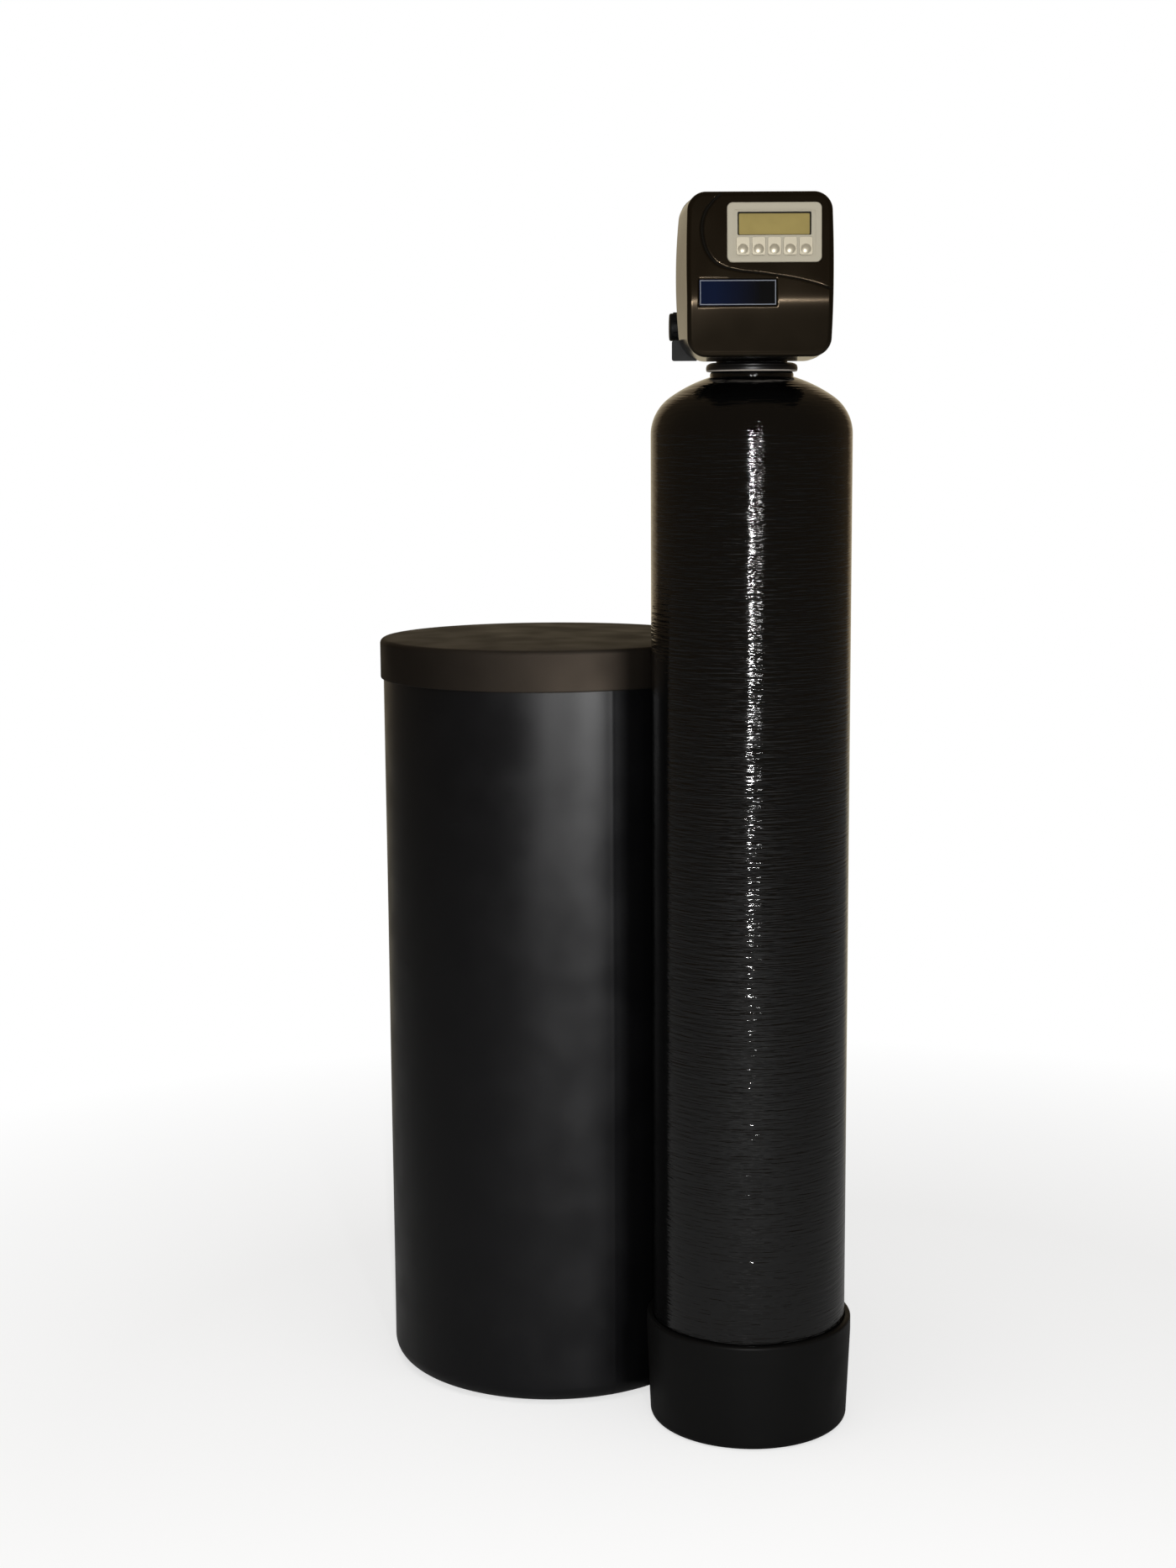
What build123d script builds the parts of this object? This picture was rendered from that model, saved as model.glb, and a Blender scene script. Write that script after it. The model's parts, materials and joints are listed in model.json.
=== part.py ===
from build123d import *
import math
import os

# A two-tank water softener: a wound resin tank with a screw-driven control valve on its neck, beside a
# round salt tank. Millimetres. X to the right, Y away from the viewer, Z up. The origin is on the floor,
# under the resin tank's axis.

# Driving dimensions

cut_over = 5.0
edge_tolerance = 0.1
seat_gap = 0.3
running_gap = 0.06

tank_radius = 128.5
tank_wall = 5.0
tank_knuckle_radius = 58.0
tank_crown_radius = 180.0
tank_shoulder_z = 1307.5
tank_neck_rise = 79.1
tank_neck_top_z = tank_shoulder_z + tank_neck_rise
tank_neck_radius = 53.0
tank_thread_radius = 31.75
tank_foot_radius = 24.0
tank_foot_height = 3.0

boot_floor = 5.0
boot_base_wall = 3.1
boot_rim_wall = 8.1
boot_base_radius = tank_radius + boot_base_wall
boot_rim_radius = tank_radius + boot_rim_wall
boot_height = 143.0
boot_base_round = 9.0
boot_rim_round = 5.0
boot_rim_band = 22.0

brine_radius = 228.6
brine_wall = 5.0
brine_bearing = 45.8
tank_spacing = boot_rim_radius + brine_radius + seat_gap
brine_x = -tank_spacing * math.sin(math.radians(brine_bearing))
brine_y = tank_spacing * math.cos(math.radians(brine_bearing))
brine_height = 1016.0
brine_base_round = 24.0

lid_wall = 3.0
lid_clearance = 0.9
lid_rise = 15.0
lid_depth = 54.5
lid_radius = brine_radius + lid_clearance + lid_wall
lid_rim_z = brine_height + lid_rise
lid_skirt_z = lid_rim_z - lid_depth
lid_edge_round = 7.0
lid_crown = 4.0
lid_seat_width = 5.0

cover_back_y = -33.0
cover_half_width = 98.0
cover_bow = 7.0
cover_corner_half_width = cover_half_width - cover_bow
cover_above_neck = 11.9
cover_height = 203.5
cover_low_z = tank_neck_top_z + cover_above_neck
cover_high_z = cover_low_z + cover_height
cover_corner_round = 30.0
cover_wall = 2.5

face_lean = 4.0
face_under_lean = 10.0
crease_y = -124.0
crease_rise = 69.5
crease_z = cover_low_z + crease_rise
crease_round = 10.0
face_side_draft = 9.2
face_bow = 2.3
face_half_width = cover_half_width - face_side_draft
face_corner_half_width = face_half_width - face_bow
face_low_draft = 4.5
face_high_draft = 3.0
face_low_z = cover_low_z + face_low_draft
face_high_z = cover_high_z - face_high_draft
face_corner_round = 20.0
face_edge_round = 5.0

axis_rise = 57.4
axis_z = tank_neck_top_z + axis_rise
port_spacing = 72.0
port_radius = 19.0
port_bore = 12.5

gear_module = 1.25
main_teeth = 52
lower_wheel_teeth = 34
upper_wheel_teeth = 38
small_teeth = 14
pinion_teeth = 12
piston_stroke = 24.0


# Shared shape helpers


def bar(radius, start, end, centre, along="Z"):
    """A round bar from start to end along one axis, about a centre on the other two axes."""
    if along == "Z":
        frame = Plane(origin=(centre[0], centre[1], start), x_dir=(1, 0, 0), z_dir=(0, 0, 1))
    elif along == "Y":
        frame = Plane(origin=(centre[0], start, centre[1]), x_dir=(1, 0, 0), z_dir=(0, 1, 0))
    else:
        frame = Plane(origin=(start, centre[0], centre[1]), x_dir=(0, 1, 0), z_dir=(1, 0, 0))
    return frame * Cylinder(radius, end - start, align=(Align.CENTER, Align.CENTER, Align.MIN))


def ring(outer, inner, start, end, centre, along="Z"):
    """A round bar with a bore through it."""
    return bar(outer, start, end, centre, along) - bar(inner, start - cut_over, end + cut_over, centre, along)


def hexagon(across_flats, start, end, centre, along="Z"):
    """A hexagonal bar, sized across its flats, with a flat facing up or forwards."""
    corner_radius = across_flats / 2 / math.cos(math.pi / 6)
    profile = extrude(RegularPolygon(corner_radius, 6), end - start)
    if along == "Z":
        frame = Plane(origin=(centre[0], centre[1], start), x_dir=(1, 0, 0), z_dir=(0, 0, 1))
    elif along == "Y":
        frame = Plane(origin=(centre[0], start, centre[1]), x_dir=(1, 0, 0), z_dir=(0, 1, 0))
    else:
        frame = Plane(origin=(start, centre[0], centre[1]), x_dir=(0, 1, 0), z_dir=(1, 0, 0))
    return frame * profile


def turned(edges, x=0.0, y=0.0):
    """Turns a closed half outline of radius and height about an upright axis at x, y."""
    return Pos(x, y, 0) * revolve(Plane.XZ * make_face(edges), Axis.Z)


def bent_bar(points, radius, bend):
    """A round bar along straight runs joined by arcs."""
    path = FilletPolyline(*points, radius=bend)
    return sweep(Plane(origin=path @ 0, z_dir=path % 0) * Circle(radius), path=path)


def block(x0, x1, y0, y1, z0, z1):
    """A square block between two corners."""
    return Pos((x0 + x1) / 2, (y0 + y1) / 2, (z0 + z1) / 2) * Box(x1 - x0, y1 - y0, z1 - z0)


nodes = {}


def keep(name, shape):
    """Keeps a finished piece under its node name."""
    nodes[name] = shape


# Resin tank: a wound shell with dished ends, standing in a moulded boot

head_slope = math.asin((tank_radius - tank_knuckle_radius) / (tank_crown_radius - tank_knuckle_radius))
head_drop = (tank_crown_radius - tank_knuckle_radius) * math.cos(head_slope)
head_height = tank_crown_radius - head_drop
tank_base_z = boot_floor + tank_foot_height
tank_straight_low_z = tank_base_z + head_height


def dished_end(inset, straight_z, reach_radius, side):
    """Knuckle and crown arcs of a dished end, from the wall in to a radius; side is 1 above, -1 below."""
    knuckle = tank_knuckle_radius - inset
    crown = tank_crown_radius - inset
    centre_x = tank_radius - tank_knuckle_radius

    def knuckle_point(angle):
        return (centre_x + knuckle * math.cos(angle), straight_z + side * knuckle * math.sin(angle))

    def crown_point(angle):
        return (crown * math.sin(angle), straight_z + side * (crown * math.cos(angle) - head_drop))

    knuckle_turn = math.pi / 2 - head_slope
    end_angle = math.asin(reach_radius / crown)
    first = ThreePointArc(knuckle_point(0), knuckle_point(knuckle_turn / 2), knuckle_point(knuckle_turn))
    second = ThreePointArc(
        crown_point(head_slope), crown_point((head_slope + end_angle) / 2), crown_point(end_angle)
    )
    return first, second


def make_tank_shell():
    """The wound shell: one wall thickness all round, a foot under it and a threaded neck on top."""
    low = dished_end(0, tank_straight_low_z, tank_foot_radius, -1)
    high = dished_end(0, tank_shoulder_z, tank_neck_radius, 1)
    outer_low_wall = low[0] @ 0
    outer_high_wall = high[0] @ 0
    neck_foot = high[1] @ 1
    outside = make_face([
        Line((0, boot_floor), (tank_foot_radius, boot_floor)),
        Line((tank_foot_radius, boot_floor), low[1] @ 1),
        low[1],
        low[0],
        Line(outer_low_wall, outer_high_wall),
        high[0],
        high[1],
        Line(neck_foot, (tank_neck_radius, tank_neck_top_z)),
        Line((tank_neck_radius, tank_neck_top_z), (0, tank_neck_top_z)),
        Line((0, tank_neck_top_z), (0, boot_floor)),
    ])
    solid = revolve(Plane.XZ * outside, Axis.Z)
    bore = bar(tank_thread_radius, tank_shoulder_z, tank_neck_top_z + cut_over, (0, 0))
    return solid - inside_of_tank(tank_wall, tank_neck_top_z) - bore


def inside_of_tank(inset, high_limit):
    """The space inside the shell, drawn in by inset and cut off level at high_limit."""
    low = dished_end(inset, tank_straight_low_z, 0, -1)
    high = dished_end(inset, tank_shoulder_z, 0, 1)
    outline = [
        low[1],
        low[0],
        Line(low[0] @ 0, high[0] @ 0),
        high[0],
        high[1],
        Line(high[1] @ 1, low[1] @ 1),
    ]
    space = turned(outline)
    above = bar(tank_radius + cut_over, high_limit, tank_neck_top_z + tank_radius, (0, 0))
    return space - above


def make_boot():
    """The boot: tapered outside with a straight rim band and a rounded shoulder, bored to the shell."""
    band_z = boot_height - boot_rim_band
    outline = make_face([
        Line((0, 0), (boot_base_radius, 0)),
        Line((boot_base_radius, 0), (boot_rim_radius, band_z)),
        Line((boot_rim_radius, band_z), (boot_rim_radius, boot_height)),
        Line((boot_rim_radius, boot_height), (0, boot_height)),
        Line((0, boot_height), (0, 0)),
    ])
    base_corner = outline.vertices().sort_by_distance((boot_base_radius, 0, 0))[0]
    outline = fillet(base_corner, boot_base_round)
    rim_corner = outline.vertices().sort_by_distance((boot_rim_radius, boot_height, 0))[0]
    outline = fillet(rim_corner, boot_rim_round)
    solid = revolve(Plane.XZ * outline, Axis.Z)
    return solid - bar(tank_radius + seat_gap, boot_floor, boot_height + cut_over, (0, 0))


keep("tank_shell", make_tank_shell())
keep("tank_boot", make_boot())

# Inside the resin tank: riser tube, screens, gravel and resin

riser_radius = 13.35
riser_wall = 2.4
riser_above_neck = 10.0
basket_radius = 34.0
basket_wall = 2.5
basket_foot_gap = 1.2
basket_height = 58.0
inner_crown_radius = tank_crown_radius - tank_wall
basket_sag = inner_crown_radius - math.sqrt(inner_crown_radius ** 2 - basket_radius ** 2)
basket_low_z = tank_base_z + tank_wall + basket_sag + basket_foot_gap
basket_high_z = basket_low_z + basket_height
riser_in_basket = 23.5
riser_low_z = basket_high_z - riser_in_basket
basket_slots = 10
basket_slot_width = 3.0
upper_basket_gap = 4.75
upper_basket_radius = tank_thread_radius - upper_basket_gap
upper_basket_tip_wall = 5.15
upper_basket_tip_radius = riser_radius + upper_basket_tip_wall
upper_basket_length = 55.0
upper_basket_slots = 8
gravel_top_z = 120.0
resin_top_z = 845.0
spigot_length = 26.6
riser_top_z = tank_neck_top_z + riser_above_neck
spigot_low_z = tank_neck_top_z - spigot_length


def make_lower_basket():
    """A slotted cylinder that lets water into the riser and keeps the resin out."""
    body = bar(basket_radius, basket_low_z, basket_high_z, (0, 0))
    hollow_low = basket_low_z + basket_wall
    hollow_high = basket_high_z - 2 * basket_wall
    body -= bar(basket_radius - basket_wall, hollow_low, hollow_high, (0, 0))
    body -= bar(riser_radius + seat_gap, riser_low_z, basket_high_z + cut_over, (0, 0))
    socket_radius = riser_radius + seat_gap
    body += ring(socket_radius + basket_wall, socket_radius, riser_low_z, basket_high_z, (0, 0))
    slot_low = hollow_low + 2 * basket_wall
    slot_high = riser_low_z - basket_wall
    slot = block(
        basket_radius - 2 * basket_wall, basket_radius + cut_over,
        -basket_slot_width / 2, basket_slot_width / 2, slot_low, slot_high,
    )
    slots = [Rot(0, 0, 360 / basket_slots * i) * slot for i in range(basket_slots)]
    return body - slots


def make_upper_basket():
    """A slotted cone under the valve that keeps the resin in the tank during backwash."""
    low = spigot_low_z - upper_basket_length
    inner_tip = riser_radius + seat_gap

    def cone(inset, z0, z1):
        return turned([
            Line((0, z0), (upper_basket_tip_radius - inset, z0)),
            Line((upper_basket_tip_radius - inset, z0), (upper_basket_radius - inset, z1)),
            Line((upper_basket_radius - inset, z1), (0, z1)),
            Line((0, z1), (0, z0)),
        ])

    body = cone(0, low, spigot_low_z)
    body -= cone(basket_wall, low + basket_wall, spigot_low_z + cut_over)
    body -= bar(inner_tip, low - cut_over, spigot_low_z, (0, 0))
    margin = 3 * basket_wall
    slot = block(
        inner_tip, upper_basket_radius + cut_over,
        -basket_slot_width / 2, basket_slot_width / 2, low + margin, spigot_low_z - margin,
    )
    slots = [Rot(0, 0, 360 / upper_basket_slots * i) * slot for i in range(upper_basket_slots)]
    return body - slots


keep("riser_tube", ring(riser_radius, riser_radius - riser_wall, riser_low_z, riser_top_z, (0, 0)))
keep("lower_basket", make_lower_basket())
keep("upper_basket", make_upper_basket())
riser_space = bar(riser_radius + seat_gap, 0, tank_neck_top_z, (0, 0))
basket_space = bar(basket_radius + seat_gap, basket_low_z - seat_gap, basket_high_z + seat_gap, (0, 0))
keep("gravel_bed", inside_of_tank(tank_wall + seat_gap, gravel_top_z) - riser_space - basket_space)
resin_radius = tank_radius - tank_wall - seat_gap
keep("resin_bed", bar(resin_radius, gravel_top_z, resin_top_z, (0, 0)) - riser_space)

# Back plate's place, which the valve body's flat front and the cover's insides share

plate_thickness = 3.0
plate_front_y = cover_back_y + seat_gap
plate_back_y = plate_front_y + plate_thickness
neck_front_y = plate_back_y + seat_gap

# Valve body: a level piston bore over the tank neck, with two ports to the rear

flange_radius = 57.0
flange_height = 8.0
flange_round = 3.0
neck_radius = 45.0
neck_shoulder_drop = 32.0
neck_shoulder_z = axis_z - neck_shoulder_drop
neck_top_radius = 26.0
spigot_radius = tank_thread_radius - seat_gap
body_radius = 28.0
body_front_y = -42.0
body_back_y = 96.0
stack_radius = 17.6
stack_back_y = 61.3
regenerant_bore = 10.5
regenerant_end_y = 88.0
port_front_y = 20.0
port_back_y = 112.0
port_lip_radius = 22.5
port_lip = 5.0
web_half_height = 17.0
web_back_y = 62.0
cross_bore = 9.0
cross_bore_y = 42.0
annular_hole_radius = 4.5
annular_hole_inset = 9.95
annular_hole_ring = spigot_radius - annular_hole_inset
annular_holes = 4
oring_wire = 1.5
oring_squeeze = 0.1
oring_drop = 7.6
oring_groove_z = tank_neck_top_z - oring_drop
oring_ring_radius = spigot_radius - oring_wire + oring_squeeze
port_x = port_spacing / 2

meter_y = 40.0
meter_neck_radius = 14.5
meter_bore = 10.0
meter_neck_reach = 80.0

drain_x = 24.0
drain_y = 14.0
boss_rise = 44.0
boss_top_z = axis_z + boss_rise
drain_boss_radius = 15.0
drain_bore = 9.0
injector_x = -21.0
injector_y = -6.0
injector_boss_radius = 15.5
injector_bore = 11.0
injector_floor = 4.4
injector_floor_z = axis_z + stack_radius + injector_floor
refill_x = -10.0
refill_y = 66.0
refill_boss_radius = 12.0
refill_bore = 6.0


def make_valve_body():
    """Bore barrel, neck with a flat front, port tubes, meter branch and three bosses, fused, then bored."""
    neck_foot_z = tank_neck_top_z + flange_height
    profile = make_face([
        Line((0, tank_neck_top_z), (flange_radius, tank_neck_top_z)),
        Line((flange_radius, tank_neck_top_z), (flange_radius, neck_foot_z)),
        Line((flange_radius, neck_foot_z), (neck_radius, neck_foot_z)),
        Line((neck_radius, neck_foot_z), (neck_radius, neck_shoulder_z - flange_height)),
        Line((neck_radius, neck_shoulder_z - flange_height), (neck_top_radius, axis_z)),
        Line((neck_top_radius, axis_z), (0, axis_z)),
        Line((0, axis_z), (0, tank_neck_top_z)),
    ])
    for corner_z in (tank_neck_top_z, neck_foot_z):
        corner = profile.vertices().sort_by_distance((flange_radius, corner_z, 0))[0]
        profile = fillet(corner, flange_round)
    body = revolve(Plane.XZ * profile, Axis.Z)
    body -= block(-neck_radius, neck_radius, -flange_radius, neck_front_y, neck_foot_z, axis_z)
    body += bar(spigot_radius, spigot_low_z, tank_neck_top_z, (0, 0))
    body += bar(body_radius, body_front_y, body_back_y, (0, axis_z), "Y")
    web = block(
        -port_x, port_x, port_front_y, web_back_y, axis_z - web_half_height, axis_z + web_half_height
    )
    body += web
    for x in (-port_x, port_x):
        body += bar(port_radius, port_front_y, port_back_y, (x, axis_z), "Y")
        body += bar(port_lip_radius, port_back_y - port_lip, port_back_y, (x, axis_z), "Y")
    body += bar(meter_neck_radius, -meter_neck_reach, -port_x, (meter_y, axis_z), "X")
    body += bar(drain_boss_radius, axis_z, boss_top_z, (drain_x, drain_y))
    body += bar(injector_boss_radius, axis_z, boss_top_z, (injector_x, injector_y))
    body += bar(refill_boss_radius, axis_z, boss_top_z, (refill_x, refill_y))
    body -= bar(stack_radius, body_front_y - cut_over, stack_back_y, (0, axis_z), "Y")
    body -= bar(regenerant_bore, stack_back_y - cut_over, regenerant_end_y, (0, axis_z), "Y")
    port_end = port_front_y + port_lip
    for x in (-port_x, port_x):
        body -= bar(port_bore, port_end, port_back_y + cut_over, (x, axis_z), "Y")
    body -= bar(cross_bore, -port_x, port_x, (cross_bore_y, axis_z), "X")
    body -= bar(meter_bore, -meter_neck_reach - cut_over, -port_x, (meter_y, axis_z), "X")
    body -= bar(riser_radius + seat_gap, spigot_low_z - cut_over, riser_top_z + seat_gap, (0, 0))
    body -= bar(riser_radius - riser_wall, riser_top_z, axis_z, (0, 0))
    hole = bar(annular_hole_radius, spigot_low_z - cut_over, neck_foot_z + flange_height,
               (annular_hole_ring, 0))
    body -= [Rot(0, 0, 360 / annular_holes * (i + 0.5)) * hole for i in range(annular_holes)]
    body -= bar(drain_bore, axis_z + stack_radius, boss_top_z + cut_over, (drain_x, drain_y))
    body -= bar(injector_bore, injector_floor_z, boss_top_z + cut_over, (injector_x, injector_y))
    body -= bar(refill_bore, axis_z + regenerant_bore, boss_top_z + cut_over, (refill_x, refill_y))
    groove_reach = oring_wire + seat_gap
    body -= ring(
        spigot_radius + cut_over, oring_ring_radius - groove_reach,
        oring_groove_z - groove_reach, oring_groove_z + groove_reach, (0, 0),
    )
    return body


keep("valve_body", make_valve_body())
keep("tank_oring", Pos(0, 0, oring_groove_z) * Torus(oring_ring_radius, oring_wire))

# Piston stack: seals and windowed spacers in a row, with the two pistons inside

stack_front_inset = 4.0
stack_front_y = body_front_y + stack_front_inset
seal_width = 3.0
spacer_count = 6
spacer_gap = 0.1
spacer_radius = stack_radius - spacer_gap
spacer_bore = 15.6
piston_radius = 14.0
seal_bore = piston_radius + running_gap
seal_count = spacer_count + 1
spacer_width = (stack_back_y - stack_front_y - seal_count * seal_width) / spacer_count
window_share = 0.5
piston_front_y = -18.0
piston_length = 50.0
piston_waist_radius = 10.0
piston_waist_share = 0.44
rod_radius = 8.0
regenerant_radius = 7.0
regenerant_length = 27.0
piston_back_y = piston_front_y + piston_length


def stack_place(i):
    """Where seal i starts along the bore."""
    return stack_front_y + i * (seal_width + spacer_width)


def make_spacer(start):
    """A ring with windows through its wall for the water."""
    body = ring(spacer_radius, spacer_bore, start, start + spacer_width, (0, axis_z), "Y")
    window_width = window_share * spacer_width
    middle = start + spacer_width / 2
    window = block(
        -spacer_radius - cut_over, spacer_radius + cut_over,
        middle - window_width / 2, middle + window_width / 2,
        axis_z - spacer_bore / 3, axis_z + spacer_bore / 3,
    )
    body -= window
    return body - window.rotate(Axis((0, 0, axis_z), (0, 1, 0)), 90)


seals = []
spacers = []
for i in range(seal_count):
    start = stack_place(i)
    seals.append(ring(spacer_radius, seal_bore, start, start + seal_width, (0, axis_z), "Y"))
    if i < spacer_count:
        spacers.append(make_spacer(start + seal_width))
keep("stack_seals", Compound(seals))
keep("stack_spacers", Compound(spacers))

waist_margin = piston_length * (1 - piston_waist_share) / 2
main_piston = bar(piston_radius, piston_front_y, piston_back_y, (0, axis_z), "Y")
main_piston -= ring(
    piston_radius + cut_over, piston_waist_radius,
    piston_front_y + waist_margin, piston_back_y - waist_margin, (0, axis_z), "Y",
)
keep("main_piston", main_piston)
keep(
    "regenerant_piston",
    bar(regenerant_radius, piston_back_y, piston_back_y + regenerant_length, (0, axis_z), "Y"),
)

# Drive: cap with a nose that carries the main gear, two compound gears, pinion and motor on a bracket

cap_flange_radius = 27.0
cap_flange = 9.0
cap_nose_radius = 14.0
cap_nose_end_y = -66.0
bracket_front_y = -66.0
bracket_thickness = 2.5
layer_width = 6.0
layer_gap = 0.8
main_hub_radius = 18.0
gear_root_depth = 1.25
gear_tip_height = 0.9
tip_share = 0.22
root_share = 0.62
main_face_back_y = bracket_front_y - layer_gap
lower_bearing = 60.0
upper_bearing = 30.0
motor_bearing = 72.0
axle_radius = 2.5
motor_radius = 15.0
motor_length = 25.0
motor_shaft_radius = 1.5


def pitch_radius(teeth):
    return gear_module * teeth / 2


def away(centre, bearing, distance):
    """A point at a distance from centre, in the plane of X and Z, bearing in degrees from +X."""
    turn = math.radians(bearing)
    return (centre[0] + distance * math.cos(turn), centre[1] + distance * math.sin(turn))


main_centre = (0, axis_z)
lower_centre = away(main_centre, lower_bearing, pitch_radius(main_teeth) + pitch_radius(small_teeth))
upper_centre = away(
    lower_centre, upper_bearing, pitch_radius(lower_wheel_teeth) + pitch_radius(small_teeth))
motor_centre = away(
    upper_centre, motor_bearing, pitch_radius(upper_wheel_teeth) + pitch_radius(pinion_teeth))


def meshed_phase(phase, teeth, bearing, other_teeth):
    """The phase that puts the second gear's tooth gap on the first gear's tooth, at their shared bearing."""
    radius = pitch_radius(teeth)
    other_radius = pitch_radius(other_teeth)
    turn = math.radians(bearing)
    half_pitch = math.pi * gear_module / 2
    return turn + math.pi - (radius * (phase - turn) + half_pitch) / other_radius


def make_gear(teeth, start, end, centre, phase):
    """A straight-toothed wheel: each tooth is a trapezoid between its root and tip circles."""
    pitch = 2 * math.pi / teeth
    root = pitch_radius(teeth) - gear_root_depth * gear_module
    tip = pitch_radius(teeth) + gear_tip_height * gear_module
    points = []
    for i in range(teeth):
        middle = phase + i * pitch
        for radius, share in ((root, -root_share), (tip, -tip_share), (tip, tip_share), (root, root_share)):
            turn = middle + share * pitch / 2
            points.append((radius * math.cos(turn), radius * math.sin(turn)))
    profile = make_face(Polyline(*points, close=True))
    frame = Plane(origin=(centre[0], end, centre[1]), x_dir=(1, 0, 0), z_dir=(0, -1, 0))
    return frame * extrude(profile, end - start)


first_layer = (main_face_back_y - layer_width, main_face_back_y)
second_layer = (first_layer[0] - layer_gap - layer_width, first_layer[0] - layer_gap)
third_layer = (second_layer[0] - layer_gap - layer_width, second_layer[0] - layer_gap)
gears_front_y = third_layer[0] - cut_over
main_phase = math.pi / 2
lower_small_phase = meshed_phase(main_phase, main_teeth, lower_bearing, small_teeth)
upper_small_phase = meshed_phase(0, lower_wheel_teeth, upper_bearing, small_teeth)
pinion_phase = meshed_phase(0, upper_wheel_teeth, motor_bearing, pinion_teeth)

main_gear = make_gear(main_teeth, *first_layer, main_centre, main_phase)
main_gear += bar(
    main_hub_radius, main_face_back_y - layer_gap, cap_nose_end_y + cap_flange, main_centre, "Y")
main_gear -= bar(rod_radius + running_gap, first_layer[0] - cut_over, 0, main_centre, "Y")
main_gear -= bar(cap_nose_radius + running_gap, cap_nose_end_y - seat_gap, 0, main_centre, "Y")
keep("main_drive_gear", main_gear)
keep("piston_rod", bar(rod_radius, first_layer[0] - piston_stroke, piston_front_y, main_centre, "Y"))

lower_gear = make_gear(
    small_teeth, first_layer[0] - layer_gap, first_layer[1], lower_centre, lower_small_phase)
lower_gear += make_gear(lower_wheel_teeth, *second_layer, lower_centre, 0)
axle_hole = axle_radius + running_gap
keep("lower_reduction_gear", lower_gear - bar(axle_hole, gears_front_y, 0, lower_centre, "Y"))

upper_gear = make_gear(
    small_teeth, second_layer[0] - layer_gap, second_layer[1], upper_centre, upper_small_phase)
upper_gear += make_gear(upper_wheel_teeth, *third_layer, upper_centre, 0)
keep("upper_reduction_gear", upper_gear - bar(axle_hole, gears_front_y, 0, upper_centre, "Y"))

pinion = make_gear(pinion_teeth, *third_layer, motor_centre, pinion_phase)
keep("motor_pinion", pinion - bar(motor_shaft_radius, gears_front_y, 0, motor_centre, "Y"))

bracket_back_y = bracket_front_y + bracket_thickness
shaft_depth = 10.0
shaft_end_y = bracket_back_y + shaft_depth
motor_can = bar(motor_radius, bracket_back_y, bracket_back_y + motor_length, motor_centre, "Y")
motor_can -= bar(
    motor_shaft_radius + running_gap, bracket_front_y, shaft_end_y + seat_gap, motor_centre, "Y")
keep("motor", motor_can)
keep("motor_shaft", bar(motor_shaft_radius, third_layer[0], shaft_end_y, motor_centre, "Y"))

drive_cap = bar(cap_flange_radius, body_front_y - cap_flange, body_front_y, main_centre, "Y")
drive_cap += bar(stack_radius - seat_gap, body_front_y, stack_front_y, main_centre, "Y")
drive_cap += bar(cap_nose_radius, cap_nose_end_y, body_front_y, main_centre, "Y")
drive_cap -= bar(
    rod_radius + running_gap, cap_nose_end_y - cut_over, stack_front_y + cut_over, main_centre, "Y")
keep("drive_cap", drive_cap)

# Cover: a drafted shell with bowed sides, whose leaning face folds under at a crease

face_frame = Plane(
    origin=(0, crease_y, crease_z),
    x_dir=(1, 0, 0),
    z_dir=(0, -math.cos(math.radians(face_lean)), math.sin(math.radians(face_lean))),
)
face_height = (face_high_z - crease_z) / math.cos(math.radians(face_lean))


def bowed_outline(y, half_width, corner_half_width, low_z, high_z, corner_round):
    """An upright outline at depth y: level top and bottom, sides bowed outwards, rounded corners."""
    middle_z = (low_z + high_z) / 2
    sketch = make_face([
        Line((-corner_half_width, low_z), (corner_half_width, low_z)),
        ThreePointArc((corner_half_width, low_z), (half_width, middle_z), (corner_half_width, high_z)),
        Line((corner_half_width, high_z), (-corner_half_width, high_z)),
        ThreePointArc((-corner_half_width, high_z), (-half_width, middle_z), (-corner_half_width, low_z)),
    ])
    sketch = fillet(sketch.vertices(), corner_round)
    return Pos(0, y, 0) * (Plane.XZ * sketch)


def drafted(inset, back_y):
    """The cover's drafted form from its back edge to its foremost line, drawn in by inset."""
    draft_share = (back_y - cover_back_y) / (crease_y - cover_back_y)

    def between(back, front):
        return back + (front - back) * draft_share

    back = bowed_outline(
        back_y,
        between(cover_half_width, face_half_width) - inset,
        between(cover_corner_half_width, face_corner_half_width) - inset,
        between(cover_low_z, face_low_z) + inset,
        between(cover_high_z, face_high_z) - inset,
        between(cover_corner_round, face_corner_round) - inset,
    )
    front = bowed_outline(
        crease_y,
        face_half_width - inset,
        face_corner_half_width - inset,
        face_low_z + inset,
        face_high_z - inset,
        face_corner_round - inset,
    )
    return loft([back.face(), front.face()])


def behind_face(inset):
    """Everything behind the leaning upper face and the face that folds under, each set back by inset."""
    upper_top_z = cover_high_z + cut_over
    lower_end_z = cover_low_z - cut_over
    upper_y = crease_y + inset + (upper_top_z - crease_z) * math.tan(math.radians(face_lean))
    lower_y = crease_y + inset + (crease_z - lower_end_z) * math.tan(math.radians(face_under_lean))
    back_y = cover_back_y + cut_over
    profile = make_face(Polyline(
        (back_y, lower_end_z), (lower_y, lower_end_z), (crease_y + inset, crease_z),
        (upper_y, upper_top_z), (back_y, upper_top_z), close=True,
    ))
    crease = profile.vertices().sort_by_distance((crease_y + inset, crease_z, 0))[0]
    profile = fillet(crease, crease_round)
    reach = cover_half_width + cut_over
    return Pos(-reach, 0, 0) * (Plane.YZ * extrude(profile, 2 * reach))


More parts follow.
